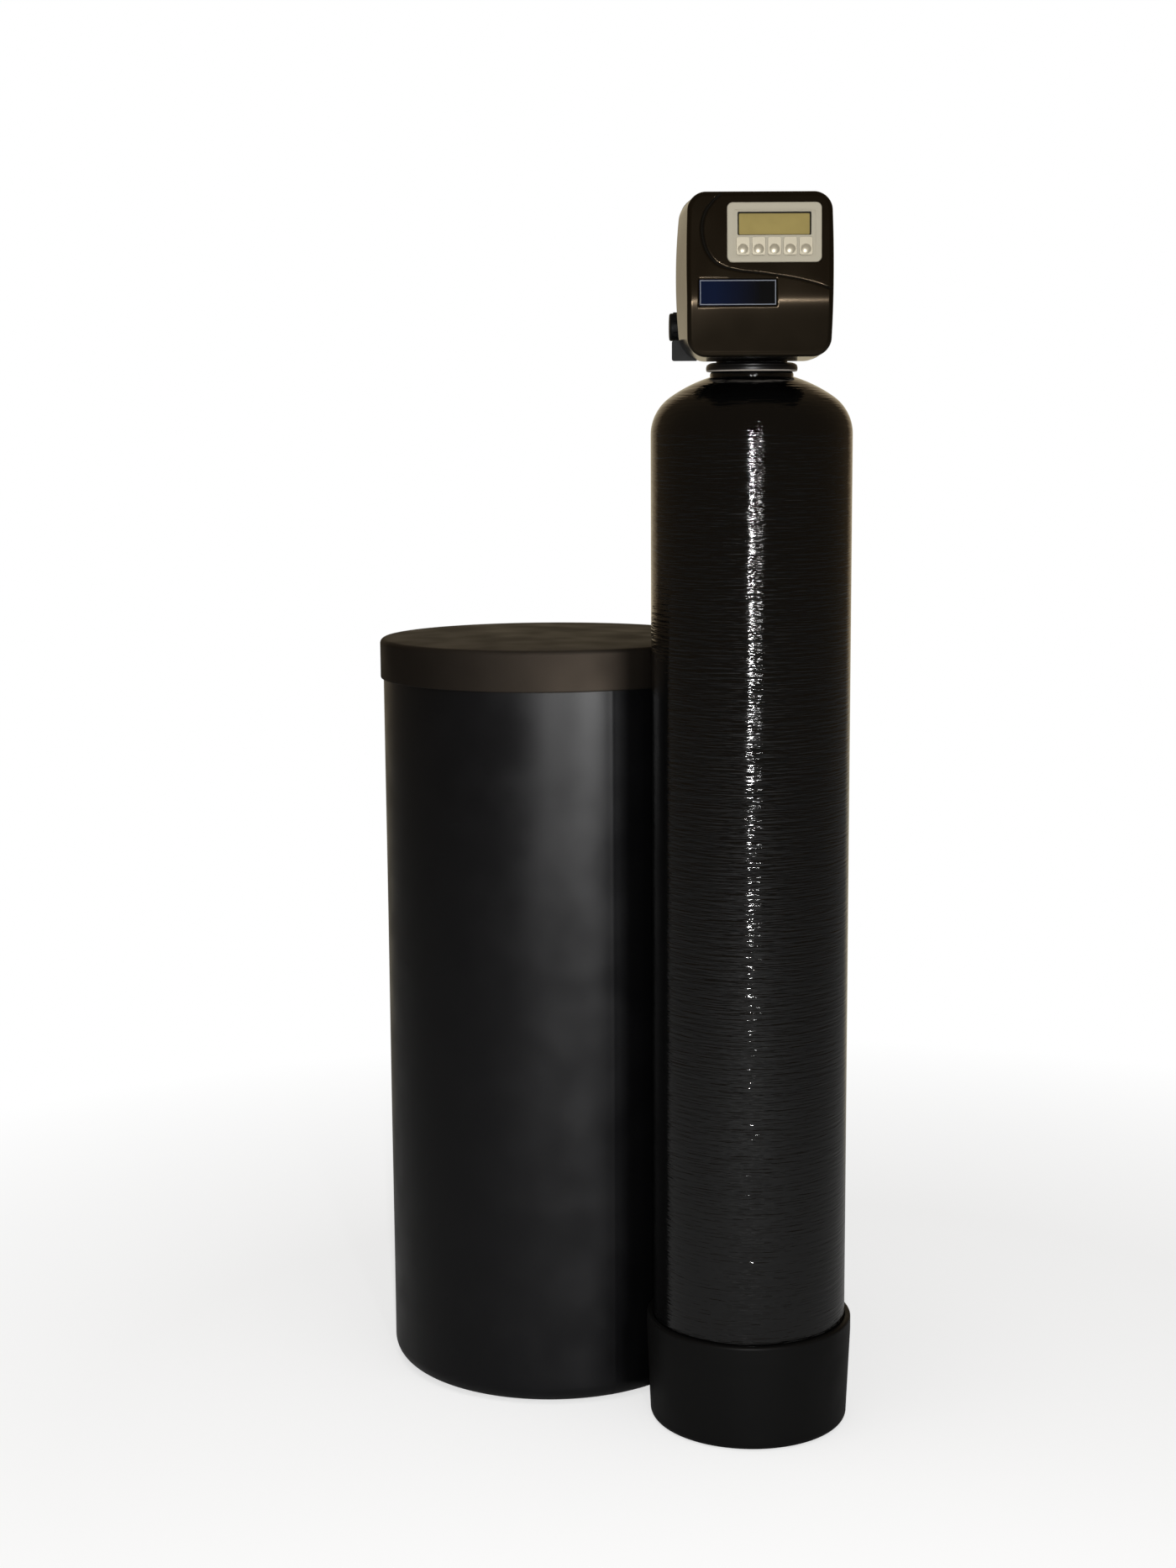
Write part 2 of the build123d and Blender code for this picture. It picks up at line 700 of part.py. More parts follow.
bezel_u = 16.9
bezel_v = 82.5
bezel_width = 115.0
bezel_height = 71.5
bezel_round = 7.0
bezel_seat = 1.5
bezel_stand = 2.0
bezel_border = 7.5
bezel_field = 0.9
bezel_edge_round = 1.2
glass_v = 93.1
glass_width = 89.6
glass_height = 28.0
glass_round = 1.5
glass_lap = 1.2
glass_thickness = 1.5
button_count = 5
button_pitch = 19.1
button_v = 66.1
button_width = 16.0
button_height = 21.3
button_round = 2.5
button_gap = 0.3
button_stand = 0.7
button_flange_side = 0.9
button_flange_end = 0.6
button_flange = 1.2
button_stem_radius = 3.0
button_stem = 2.5
button_travel = 1.0
button_dome_radius = 6.2
button_dome = 1.3
button_dome_drop = 3.6
badge_u = -27.5
badge_v = 10.8
badge_width = 94.0
badge_height = 31.2
badge_round = 1.0
badge_seat = 1.2
badge_thickness = 1.5
groove_depth = 1.3
groove_share = (
    (-0.53, 0.985, 1.3), (-0.66, 0.90, 1.9), (-0.76, 0.80, 2.3), (-0.80, 0.65, 2.4), (-0.74, 0.47, 2.2),
    (-0.59, 0.345, 1.7), (-0.33, 0.285, 1.2), (0.03, 0.255, 1.0), (0.38, 0.220, 1.0), (0.69, 0.175, 0.9),
    (0.945, 0.118, 0.8),
)
panel_middle_v = (glass_v + glass_height / 2 + button_v - button_height / 2) / 2
panel_height = glass_v + glass_height / 2 - button_v + button_height / 2 + 2 * glass_lap


def face_plate(u, v, width, height, corner_round, w0, w1):
    """A plate on the leaning face: centre, size and corner radius in the face, from w0 to w1 out of it."""
    sketch = Pos(u, v) * RectangleRounded(width, height, corner_round)
    return face_frame * (Pos(0, 0, w0) * extrude(sketch, w1 - w0))


def groove_cutter():
    """The sweeping groove: a band round a curve on the face, wide at the left and fine at the right."""
    places = [(u * face_half_width, v * face_height, half) for u, v, half in groove_share]
    sides = ([], [])
    for i, (u, v, half) in enumerate(places):
        before = places[max(i - 1, 0)]
        after = places[min(i + 1, len(places) - 1)]
        run = math.hypot(after[0] - before[0], after[1] - before[1])
        across = (-(after[1] - before[1]) / run, (after[0] - before[0]) / run)
        for side, sign in ((sides[0], 1), (sides[1], -1)):
            side.append((u + sign * half * across[0], v + sign * half * across[1]))
    band = make_face([
        Spline(*sides[0]),
        Line(sides[0][-1], sides[1][-1]),
        Spline(*sides[1]),
        Line(sides[1][0], sides[0][0]),
    ])
    return face_frame * (Pos(0, 0, -groove_depth) * extrude(band, groove_depth + cut_over))


def button_u(i):
    return bezel_u + (i - (button_count - 1) / 2) * button_pitch


def make_front_cover():
    """The moulded cover: drafted shell, rounded face edge, groove, badge seat and display opening."""
    outside = drafted(0, cover_back_y) & behind_face(0)
    face_line_y = crease_y + (face_high_z - crease_z) * math.tan(math.radians(face_lean)) + cut_over
    front_edges = [
        e for e in outside.edges() if e.bounding_box().max.Y < face_line_y and e.length > crease_round]
    rounded = fillet(front_edges, face_edge_round)
    inside = drafted(cover_wall, cover_back_y) & behind_face(cover_wall)
    cover = rounded - inside
    cover -= groove_cutter()
    cover -= face_plate(badge_u, badge_v, badge_width + 2 * seat_gap, badge_height + 2 * seat_gap,
                        badge_round, -badge_seat, cut_over)
    cover -= face_plate(bezel_u, bezel_v, bezel_width + 2 * seat_gap, bezel_height + 2 * seat_gap,
                        bezel_round, -bezel_seat, cut_over)
    cover -= face_plate(bezel_u, panel_middle_v, bezel_width - 2 * bezel_border, panel_height, glass_round,
                        -cover_wall - cut_over, cut_over)
    return cover


def make_bezel():
    """The silver surround: raised border, sunk field, one window and five button openings."""
    bezel = face_plate(bezel_u, bezel_v, bezel_width, bezel_height, bezel_round, -bezel_seat, bezel_stand)
    rim = []
    for edge in bezel.edges():
        if abs(face_frame.to_local_coords(edge.center()).Z - bezel_stand) < edge_tolerance:
            rim.append(edge)
    bezel = fillet(rim, bezel_edge_round)
    bezel -= face_plate(bezel_u, panel_middle_v, bezel_width - 2 * bezel_border,
                        panel_height + 2 * glass_lap, bezel_round / 2, bezel_field, bezel_stand + cut_over)
    behind = -bezel_seat - cut_over
    bezel -= face_plate(bezel_u, glass_v, glass_width, glass_height, glass_round, behind, cut_over)
    for i in range(button_count):
        bezel -= face_plate(button_u(i), button_v, button_width + 2 * button_gap,
                            button_height + 2 * button_gap, button_round + button_gap, behind, cut_over)
    return bezel


def make_button(i):
    """A push key: rounded pad with a low dome, a flange behind the bezel and a stem towards its switch."""
    flange_front = -bezel_seat - button_gap
    flange_back = flange_front - button_flange
    top = bezel_field + button_stand
    pad = face_plate(button_u(i), button_v, button_width, button_height, button_round, flange_front, top)
    pad += face_plate(button_u(i), button_v, button_width + 2 * button_flange_side,
                      button_height + 2 * button_flange_end, button_round, flange_back, flange_front)
    stem = Pos(button_u(i), button_v, flange_back - button_stem) * Cylinder(
        button_stem_radius, button_stem, align=(Align.CENTER, Align.CENTER, Align.MIN))
    ball_radius = (button_dome_radius ** 2 + button_dome ** 2) / (2 * button_dome)
    edge_angle = math.asin(button_dome_radius / ball_radius) / 2
    cap = revolve(Plane.XZ * make_face([
        Line((0, 0), (button_dome_radius, 0)),
        ThreePointArc(
            (button_dome_radius, 0),
            (ball_radius * math.sin(edge_angle), button_dome - ball_radius * (1 - math.cos(edge_angle))),
            (0, button_dome),
        ),
        Line((0, button_dome), (0, 0)),
    ]), Axis.Z)
    dome = Pos(button_u(i), button_v - button_dome_drop, top) * cap
    return pad + face_frame * stem + face_frame * dome


keep("front_cover", make_front_cover())
keep("display_bezel", make_bezel())
keep("display_window", face_plate(
    bezel_u, glass_v, glass_width + 2 * glass_lap, glass_height + 2 * glass_lap, glass_round,
    -bezel_seat - glass_thickness, -bezel_seat))
keep("badge_plate", face_plate(
    badge_u, badge_v, badge_width, badge_height, badge_round, -badge_seat, badge_thickness - badge_seat))
for i, use in enumerate(("clock", "next", "down", "up", "regenerate")):
    keep(use + "_button", make_button(i))

# Behind the cover: circuit board, drive bracket, back plate and power grommet

board_depth = 16.4
board_thickness = 1.6
board_width = 132.0
board_height = 79.0
board_u = 10.0
board_v = 83.5
board_round = 3.0
display_depth = 7.0
display_width = 88.0
display_height = 26.0
switch_radius = 3.0
switch_gap = 0.2
chip_share = ((-0.40, 0.10, 0.10, 0.16), (-0.40, -0.24, 0.12, 0.18), (0.40, -0.36, 0.12, 0.08))
chip_height = 4.0
standoff_radius = 3.5
standoff_share = 0.44
bracket_side_gap = 26.0
bracket_low_gap = 13.5
bracket_high_gap = 12.0
bracket_half_width = cover_half_width - bracket_side_gap
bracket_low_z = cover_low_z + bracket_low_gap
bracket_high_z = cover_high_z - bracket_high_gap
bracket_round = 12.0
bracket_post_radius = 4.0
bracket_post_inset = 10.0
hub_clearance = 1.5
axle_flange = 1.5
plate_inset = 1.0
register_depth = 5.0
register_wall = 2.0
register_gap = 0.4
foot_stand = 5.0
foot_width = 31.0
foot_height = 25.5
foot_outer_x = -cover_half_width - foot_stand
foot_inner_x = foot_outer_x + foot_width
foot_low_z = cover_low_z + plate_inset
foot_high_z = foot_low_z + foot_height
foot_round = 3.0
grommet_x = 72.0
grommet_rise = 16.5
grommet_z = cover_low_z + grommet_rise
grommet_radius = 7.0
grommet_bore = 3.5
grommet_lip = 1.5
board_front_w = -board_depth + board_thickness


def make_board():
    """The circuit board with its display module, one switch behind each button and three large parts."""
    board = face_plate(board_u, board_v, board_width, board_height, board_round,
                       -board_depth, board_front_w)
    board += face_plate(bezel_u, glass_v, display_width, display_height, glass_round,
                        board_front_w, -display_depth)
    stem_end = -bezel_seat - button_gap - button_flange - button_stem
    switch_height = stem_end - button_travel - switch_gap - board_front_w
    for i in range(button_count):
        board += face_frame * (Pos(button_u(i), button_v, board_front_w) * Cylinder(
            switch_radius, switch_height, align=(Align.CENTER, Align.CENTER, Align.MIN)))
    for u, v, width, height in chip_share:
        board += face_plate(
            board_u + u * board_width, board_v + v * board_height,
            width * board_width, height * board_height,
            board_round / 3, board_front_w, board_front_w + chip_height)
    return board


def make_bracket():
    """The drive bracket: a plate with gear axles in front, board standoffs and posts to the back plate."""
    outline = RectangleRounded(2 * bracket_half_width, bracket_high_z - bracket_low_z, bracket_round)
    middle_z = (bracket_high_z + bracket_low_z) / 2
    bracket = Pos(0, bracket_back_y, middle_z) * (Plane.XZ * extrude(outline, bracket_thickness))
    bracket -= bar(main_hub_radius + hub_clearance, bracket_front_y - cut_over, bracket_back_y + cut_over,
                   main_centre, "Y")
    bracket -= bar(motor_shaft_radius + hub_clearance, bracket_front_y - cut_over, bracket_back_y + cut_over,
                   motor_centre, "Y")
    bracket += bar(axle_radius, second_layer[0] - axle_flange, bracket_front_y, lower_centre, "Y")
    bracket += bar(axle_radius, third_layer[0] - axle_flange, bracket_front_y, upper_centre, "Y")
    bracket += bar(2 * axle_radius, second_layer[1] + layer_gap / 2, bracket_front_y, upper_centre, "Y")
    for side in (-1, 1):
        for z in (bracket_low_z + bracket_post_inset, bracket_high_z - bracket_post_inset):
            x = side * (bracket_half_width - bracket_post_inset)
            bracket += bar(bracket_post_radius, bracket_back_y, plate_front_y, (x, z), "Y")
    reach = bracket_front_y - crease_y
    trim = block(-cover_half_width, cover_half_width, bracket_front_y, 0, cover_low_z, cover_high_z)
    standoff = Cylinder(standoff_radius, reach, align=(Align.CENTER, Align.CENTER, Align.MAX))
    for side_u in (-standoff_share, standoff_share):
        for side_v in (-standoff_share, standoff_share):
            u = board_u + side_u * board_width
            v = board_v + side_v * board_height
            bracket += face_frame * (Pos(u, v, -board_depth) * standoff) - trim
    return bracket


def make_back_plate():
    """The plate that closes the cover's back: outline, locating rim, body opening and a square foot."""
    half_width = cover_half_width - plate_inset
    corner_half_width = cover_corner_half_width - plate_inset
    low_z = cover_low_z + plate_inset
    high_z = cover_high_z - plate_inset
    sketch = bowed_outline(plate_back_y, half_width, corner_half_width, low_z, high_z,
                           cover_corner_round - plate_inset)
    plate = extrude(sketch, plate_thickness)
    foot = block(foot_outer_x, foot_inner_x, plate_front_y, plate_back_y, foot_low_z, foot_high_z)
    foot = fillet(foot.edges().filter_by(Axis.Y).group_by(Axis.X)[0], foot_round)
    plate += foot
    rim_inset = cover_wall + register_gap
    rim_front_y = plate_front_y - register_depth
    rim = drafted(rim_inset, cover_back_y) - drafted(rim_inset + register_wall, cover_back_y)
    rim &= block(-cover_half_width, cover_half_width, rim_front_y, plate_front_y,
                 cover_low_z, cover_high_z)
    plate += rim
    plate += bowed_outline_prism(rim_inset + register_wall, rim_inset, cover_back_y, plate_front_y)
    plate -= bar(body_radius + seat_gap, rim_front_y - cut_over, plate_back_y + cut_over, main_centre, "Y")
    plate -= bar(grommet_radius - grommet_lip, rim_front_y, plate_back_y + cut_over,
                 (grommet_x, grommet_z), "Y")
    return plate


def bowed_outline_prism(inner_inset, outer_inset, back_y, front_y):
    """A short straight ring of the cover's back outline that joins the locating rim to its plate."""
    rings = []
    for inset in (outer_inset, inner_inset):
        sketch = bowed_outline(front_y, cover_half_width - inset, cover_corner_half_width - inset,
                               cover_low_z + inset, cover_high_z - inset, cover_corner_round - inset)
        rings.append(extrude(sketch, front_y - back_y))
    return rings[0] - rings[1]


def make_grommet():
    """A rubber bush with a lip each side of the back plate, for a power lead that isn't fitted."""
    centre = (grommet_x, grommet_z)
    neck = grommet_radius - grommet_lip
    bush = bar(neck, plate_front_y - grommet_lip, plate_back_y + grommet_lip, centre, "Y")
    bush += bar(grommet_radius, plate_front_y - grommet_lip, plate_front_y, centre, "Y")
    bush += bar(grommet_radius, plate_back_y, plate_back_y + grommet_lip, centre, "Y")
    return bush - bar(grommet_bore, plate_front_y - cut_over, plate_back_y + cut_over, centre, "Y")


keep("circuit_board", make_board())
keep("drive_bracket", make_bracket())
keep("back_plate", make_back_plate())
keep("power_grommet", make_grommet())

# Fittings on the valve body: injector cap and nozzle, drain elbow, refill elbow, meter and its turbine

injector_cap_radius = 17.0
injector_cap_height = 13.0
injector_plug = 8.0
cap_lugs = 6
lug_reach = 2.5
lug_width = 5.0
nozzle_radius = 4.0
nozzle_flange = 2.5
nozzle_bore = 1.2
elbow_drop_radius = 12.0
elbow_rise = 24.0
drain_arm_radius = 10.5
drain_arm_reach = 40.0
drain_nut_flats = 28.0
drain_nut_length = 12.0
drain_neck_radius = 8.4
drain_neck_show = 1.0
drain_tail_radius = 8.0
drain_tail_relief = 0.6
drain_tail_relief_width = 1.5
drain_tail_chamfer = 0.8
drain_tail = 26.0
drain_tail_bore = 6.0
refill_stem_radius = 9.0
refill_arm_reach = 26.0
refill_nut_flats = 19.0
refill_nut_length = 13.0
refill_tube_bore = 4.8
refill_tube_depth = 12.0
meter_cap_x = -102.5
meter_cap_radius = 17.5
meter_plug_gap = 0.1
meter_plug_radius = meter_bore - meter_plug_gap
meter_plug_end_x = -50.0
meter_arm_radius = 2.5
turbine_axle_radius = 1.5
turbine_hub_radius = 4.0
turbine_tip_gap = 0.6
turbine_blade_radius = port_bore - turbine_tip_gap
turbine_blade_length_share = 0.9
turbine_blades = 6
turbine_blade_thickness = 1.2
turbine_pitch = 35.0
turbine_length = 12.0
turbine_front_y = meter_y + meter_arm_radius + seat_gap
turbine_axle_end_y = turbine_front_y + turbine_length + meter_arm_radius


def lugs(radius, count, start, end, centre, along):
    """Square grip lugs round a cap or nut, standing out of its radius."""
    middle = (start + end) / 2
    half = (end - start) / 2
    shapes = []
    for i in range(count):
        turn = 360 / count * i
        lug = Pos(radius, 0, 0) * Box(2 * lug_reach, lug_width, 2 * half)
        lug = Rot(0, 0, turn) * lug
        if along == "Z":
            frame = Plane(origin=(centre[0], centre[1], middle), x_dir=(1, 0, 0), z_dir=(0, 0, 1))
        elif along == "Y":
            frame = Plane(origin=(centre[0], middle, centre[1]), x_dir=(1, 0, 0), z_dir=(0, 1, 0))
        else:
            frame = Plane(origin=(middle, centre[0], centre[1]), x_dir=(0, 1, 0), z_dir=(1, 0, 0))
        shapes.append(frame * lug)
    return shapes


def make_injector_cap():
    """The screw cap over the injector, with a plug down its bore and grip lugs."""
    centre = (injector_x, injector_y)
    cap = bar(injector_cap_radius, boss_top_z, boss_top_z + injector_cap_height, centre)
    cap = fillet(cap.edges().group_by(Axis.Z)[-1], lug_reach)
    cap += lugs(injector_cap_radius, cap_lugs, boss_top_z, boss_top_z + injector_cap_height - lug_reach,
                centre, "Z")
    return cap + bar(injector_bore - seat_gap, boss_top_z - injector_plug, boss_top_z, centre)


def make_nozzle():
    """The injector nozzle: a flange on the bore's floor and a drilled jet above it."""
    centre = (injector_x, injector_y)
    top = boss_top_z - injector_plug - seat_gap
    nozzle = bar(injector_bore - seat_gap, injector_floor_z, injector_floor_z + nozzle_flange, centre)
    nozzle += bar(nozzle_radius, injector_floor_z, top, centre)
    return nozzle - bar(nozzle_bore, injector_floor_z - cut_over, top + cut_over, centre)


def make_drain_elbow():
    """The drain elbow: a stem on its boss, a level arm to the right and a hose tail."""
    arm_z = boss_top_z + elbow_rise - drain_arm_radius
    arm_end = drain_x + drain_arm_reach
    neck_end = arm_end + drain_nut_length + drain_neck_show
    tail_start = neck_end + drain_tail_relief_width
    tail_end = arm_end + drain_tail
    tail = bar(drain_tail_radius, tail_start, tail_end, (drain_y, arm_z), "X")
    tail = chamfer(tail.edges().group_by(Axis.X)[-1], drain_tail_chamfer)
    elbow = bar(elbow_drop_radius, boss_top_z, boss_top_z + elbow_rise, (drain_x, drain_y))
    elbow = fillet(elbow.edges().group_by(Axis.Z)[-1], elbow_drop_radius / 2)
    elbow += bar(drain_arm_radius, drain_x, arm_end, (drain_y, arm_z), "X")
    elbow += bar(drain_neck_radius, arm_end, neck_end, (drain_y, arm_z), "X")
    elbow += bar(drain_tail_radius - drain_tail_relief, neck_end, tail_start, (drain_y, arm_z), "X")
    elbow += tail
    elbow -= bar(drain_bore, boss_top_z - cut_over, arm_z, (drain_x, drain_y))
    return elbow - bar(drain_tail_bore, drain_x, tail_end + cut_over, (drain_y, arm_z), "X")


def make_drain_nut():
    """The hexagonal nut that holds a drain hose on its tail."""
    arm_z = boss_top_z + elbow_rise - drain_arm_radius
    start = drain_x + drain_arm_reach
    nut = hexagon(drain_nut_flats, start, start + drain_nut_length, (drain_y, arm_z), "X")
    return nut - bar(drain_neck_radius + seat_gap / 2, start - cut_over,
                     start + drain_nut_length + cut_over, (drain_y, arm_z), "X")


def make_refill_elbow():
    """The brine line elbow: a stem on its boss and a level arm to the left that takes a small tube."""
    arm_z = boss_top_z + elbow_rise - drain_arm_radius
    arm_end = refill_x - refill_arm_reach
    elbow = bar(refill_stem_radius, boss_top_z, boss_top_z + elbow_rise, (refill_x, refill_y))
    elbow = fillet(elbow.edges().group_by(Axis.Z)[-1], refill_stem_radius / 2)
    elbow += bar(refill_bore + nozzle_flange, arm_end, refill_x, (refill_y, arm_z), "X")
    elbow -= bar(refill_tube_bore - nozzle_bore, arm_end + refill_tube_depth, refill_x,
                 (refill_y, arm_z), "X")
    elbow -= bar(refill_tube_bore, arm_end - cut_over, arm_end + refill_tube_depth, (refill_y, arm_z), "X")
    return elbow - bar(refill_tube_bore, boss_top_z - cut_over, arm_z, (refill_x, refill_y))


def make_refill_nut():
    """The hexagonal nut over the brine line elbow's arm."""
    arm_z = boss_top_z + elbow_rise - drain_arm_radius
    start = refill_x - refill_arm_reach
    nut = hexagon(refill_nut_flats, start, start + refill_nut_length, (refill_y, arm_z), "X")
    return nut - bar(refill_bore + nozzle_flange + running_gap, start - cut_over,
                     start + refill_nut_length + cut_over, (refill_y, arm_z), "X")


def make_meter_plug():
    """The water meter: a lugged cap at the left, a plug down its branch and an arm with the axle."""
    centre = (meter_y, axis_z)
    meter = bar(meter_cap_radius, meter_cap_x, -meter_neck_reach, centre, "X")
    meter = fillet(meter.edges().group_by(Axis.X)[0], lug_reach)
    meter += lugs(meter_cap_radius - lug_reach / 2, cap_lugs * 2, meter_cap_x + 2 * lug_reach,
                  -meter_neck_reach, centre, "X")
    meter += bar(meter_plug_radius, -meter_neck_reach, meter_plug_end_x, centre, "X")
    meter += bar(meter_arm_radius, meter_plug_end_x, -port_x, centre, "X")
    return meter + bar(turbine_axle_radius, meter_y, turbine_axle_end_y, (-port_x, axis_z), "Y")


def make_turbine():
    """The meter turbine: a bored hub with pitched blades that end just inside the port."""
    end = turbine_front_y + turbine_length
    turbine = bar(turbine_hub_radius, turbine_front_y, end, (-port_x, axis_z), "Y")
    reach = turbine_blade_radius - turbine_hub_radius / 2
    blade_length = turbine_length * turbine_blade_length_share
    blade = Rot(turbine_pitch, 0, 0) * Box(reach, blade_length, turbine_blade_thickness)
    blade = Pos(turbine_hub_radius / 2 + reach / 2, 0, 0) * blade
    blades = [Rot(0, 360 / turbine_blades * i, 0) * blade for i in range(turbine_blades)]
    middle = (turbine_front_y + end) / 2
    turbine += [Pos(-port_x, middle, axis_z) * b for b in blades]
    turbine &= bar(turbine_blade_radius, turbine_front_y, end, (-port_x, axis_z), "Y")
    return turbine - bar(turbine_axle_radius + running_gap, turbine_front_y - cut_over, end + cut_over,
                         (-port_x, axis_z), "Y")


keep("injector_cap", make_injector_cap())
keep("injector_nozzle", make_nozzle())
keep("drain_elbow", make_drain_elbow())
keep("drain_nut", make_drain_nut())
keep("refill_elbow", make_refill_elbow())
keep("refill_nut", make_refill_nut())
keep("meter_plug", make_meter_plug())
keep("meter_turbine", make_turbine())

# Bypass valve behind the ports: two turning plugs in one body, joined to the ports and the pipes by nuts

bypass_length = 78.0
bypass_front_y = port_back_y
bypass_back_y = bypass_front_y + bypass_length
bypass_end = 10.0
bypass_middle_y = (bypass_front_y + bypass_back_y) / 2
chamber_radius = 21.0
chamber_low_z = axis_z - chamber_radius
chamber_rise = 26.0
chamber_high_z = axis_z + chamber_rise
chamber_floor = 4.0
plug_radius = 16.0
bridge_radius = 13.0
plug_flange = 4.0
plug_stem_radius = 7.0
plug_stem = 3.0
knob_radius = 16.0
knob_height = 12.0
knob_bar_length = 46.0
knob_bar_width = 11.0
knob_taper_share = 0.55
nut_radius = 27.0
nut_length = 20.0
nut_lugs = 8
adapter_radius = 16.7
adapter_neck_radius = 17.2
adapter_neck_show = 1.0
adapter_relief = 0.8
adapter_relief_width = 1.5
adapter_chamfer = 1.0
adapter_lip = 5.0
adapter_length = 38.0
adapter_bore = port_bore
front_nut_start = port_back_y - port_lip - adapter_lip - seat_gap
back_nut_start = bypass_back_y + 2 * adapter_lip + seat_gap


def make_bypass_body():
    """Two tubes side by side with a bridge and a plug chamber on each."""
    body = bar(bridge_radius, -port_x, port_x, (bypass_middle_y, axis_z), "X")
    for x in (-port_x, port_x):
        body += bar(port_radius, bypass_front_y, bypass_back_y, (x, axis_z), "Y")
        body += bar(port_lip_radius, bypass_front_y, bypass_front_y + bypass_end, (x, axis_z), "Y")
        body += bar(port_lip_radius, bypass_back_y - bypass_end, bypass_back_y, (x, axis_z), "Y")
        body += bar(chamber_radius, chamber_low_z, chamber_high_z, (x, bypass_middle_y))
    body -= bar(cross_bore, -port_x, port_x, (bypass_middle_y, axis_z), "X")
    for x in (-port_x, port_x):
        body -= bar(port_bore, bypass_front_y - cut_over, bypass_back_y + cut_over, (x, axis_z), "Y")
        body -= bar(plug_radius + running_gap, chamber_low_z + chamber_floor, chamber_high_z + cut_over,
                    (x, bypass_middle_y))
    return body


def make_bypass_plug(x):
    """A turning plug: a drilled drum, a flange on its chamber, a stem and a pointer knob along the flow."""
    drum_low = chamber_low_z + chamber_floor + seat_gap
    flange_low = chamber_high_z + seat_gap
    flange_high = flange_low + plug_flange
    knob_low = flange_high + plug_stem
    knob_high = knob_low + knob_height
    centre = (x, bypass_middle_y)
    plug = bar(plug_radius, drum_low, flange_low, centre)
    plug += bar(chamber_radius, flange_low, flange_high, centre)
    plug += bar(plug_stem_radius, flange_high, knob_low, centre)
    plug += bar(knob_radius, knob_low, knob_low + knob_height / 2, centre)
    half_length = knob_bar_length / 2
    half_width = knob_bar_width / 2
    pointer = make_face(Polyline(
        (-half_width, -half_length), (half_width, -half_length), (half_width, half_length * knob_taper_share),
        (0, half_length), (-half_width, half_length * knob_taper_share), close=True))
    plug += Pos(x, bypass_middle_y, knob_low) * extrude(pointer, knob_high - knob_low)
    return plug - bar(port_bore, bypass_middle_y - 2 * plug_radius, bypass_middle_y + 2 * plug_radius,
                      (x, axis_z), "Y")


def make_coupling_nut(x, start, neck, sign):
    """A lugged nut round a joint: a narrow collar behind one lip and a wide bore over both."""
    end = start + sign * nut_length
    collar_end = start + sign * adapter_lip
    low, high = min(start, end), max(start, end)
    wide_low, wide_high = min(collar_end, end + sign * cut_over), max(collar_end, end + sign * cut_over)
    nut = bar(nut_radius, low, high, (x, axis_z), "Y")
    nut += lugs(nut_radius, nut_lugs, low + lug_reach, high - lug_reach, (x, axis_z), "Y")
    nut -= bar(neck + seat_gap, low - cut_over, high + cut_over, (x, axis_z), "Y")
    return nut - bar(port_lip_radius + seat_gap, wide_low, wide_high, (x, axis_z), "Y")


def make_pipe_adapter(x):
    """A male pipe end: the lip that the nut draws in, a neck, a thread run-out and the threaded end."""
    end = bypass_back_y + adapter_length
    neck_end = back_nut_start + adapter_neck_show
    thread_start = neck_end + adapter_relief_width
    adapter = bar(adapter_radius, thread_start, end, (x, axis_z), "Y")
    adapter = chamfer(adapter.edges().group_by(Axis.Y)[-1], adapter_chamfer)
    adapter += bar(port_lip_radius, bypass_back_y, bypass_back_y + adapter_lip, (x, axis_z), "Y")
    adapter += bar(adapter_neck_radius, bypass_back_y, neck_end, (x, axis_z), "Y")
    adapter += bar(adapter_radius - adapter_relief, neck_end, thread_start, (x, axis_z), "Y")
    return adapter - bar(adapter_bore, bypass_back_y - cut_over, end + cut_over, (x, axis_z), "Y")


coupling_nuts = []
adapters = []
for x in (-port_x, port_x):
    coupling_nuts.append(make_coupling_nut(x, front_nut_start, port_radius, 1))
    coupling_nuts.append(make_coupling_nut(x, back_nut_start, adapter_neck_radius, -1))
    adapters.append(make_pipe_adapter(x))
keep("bypass_body", make_bypass_body())
keep("inlet_bypass_plug", make_bypass_plug(port_x))
keep("outlet_bypass_plug", make_bypass_plug(-port_x))
keep("coupling_nuts", Compound(coupling_nuts))
keep("pipe_adapters", Compound(adapters))

# Salt tank and lid

overflow_below_rim = 151.0
overflow_z = brine_height - overflow_below_rim
overflow_turn = 75.0
overflow_hole = 10.5
line_hole_below_rim = 61.0
line_hole_z = brine_height - line_hole_below_rim
line_hole_turn = 20.0
line_hole = 7.0


def brine_out(turn):
    """Turns a piece made along +X about the salt tank's axis, then moves it there."""
    return Pos(brine_x, brine_y, 0) * Rot(0, 0, turn)


def make_brine_tank():
    """A moulded round tub with a rounded foot, open at the top, with two holes high in its wall."""

    def tub(radius, low, high, corner):
        outline = make_face(Polyline((0, low), (radius, low), (radius, high), (0, high), close=True))
        foot = outline.vertices().sort_by_distance((radius, low, 0))[0]
        return Pos(brine_x, brine_y, 0) * revolve(Plane.XZ * fillet(foot, corner), Axis.Z)

    tank = tub(brine_radius, 0, brine_height, brine_base_round)
    inner_radius = brine_radius - brine_wall
    tank -= tub(inner_radius, brine_wall, brine_height + cut_over, brine_base_round - brine_wall)
    start = inner_radius - brine_wall
    end = brine_radius + cut_over
    tank -= brine_out(overflow_turn) * bar(overflow_hole, start, end, (0, overflow_z), "X")
    return tank - brine_out(line_hole_turn) * bar(line_hole, start, end, (0, line_hole_z), "X")


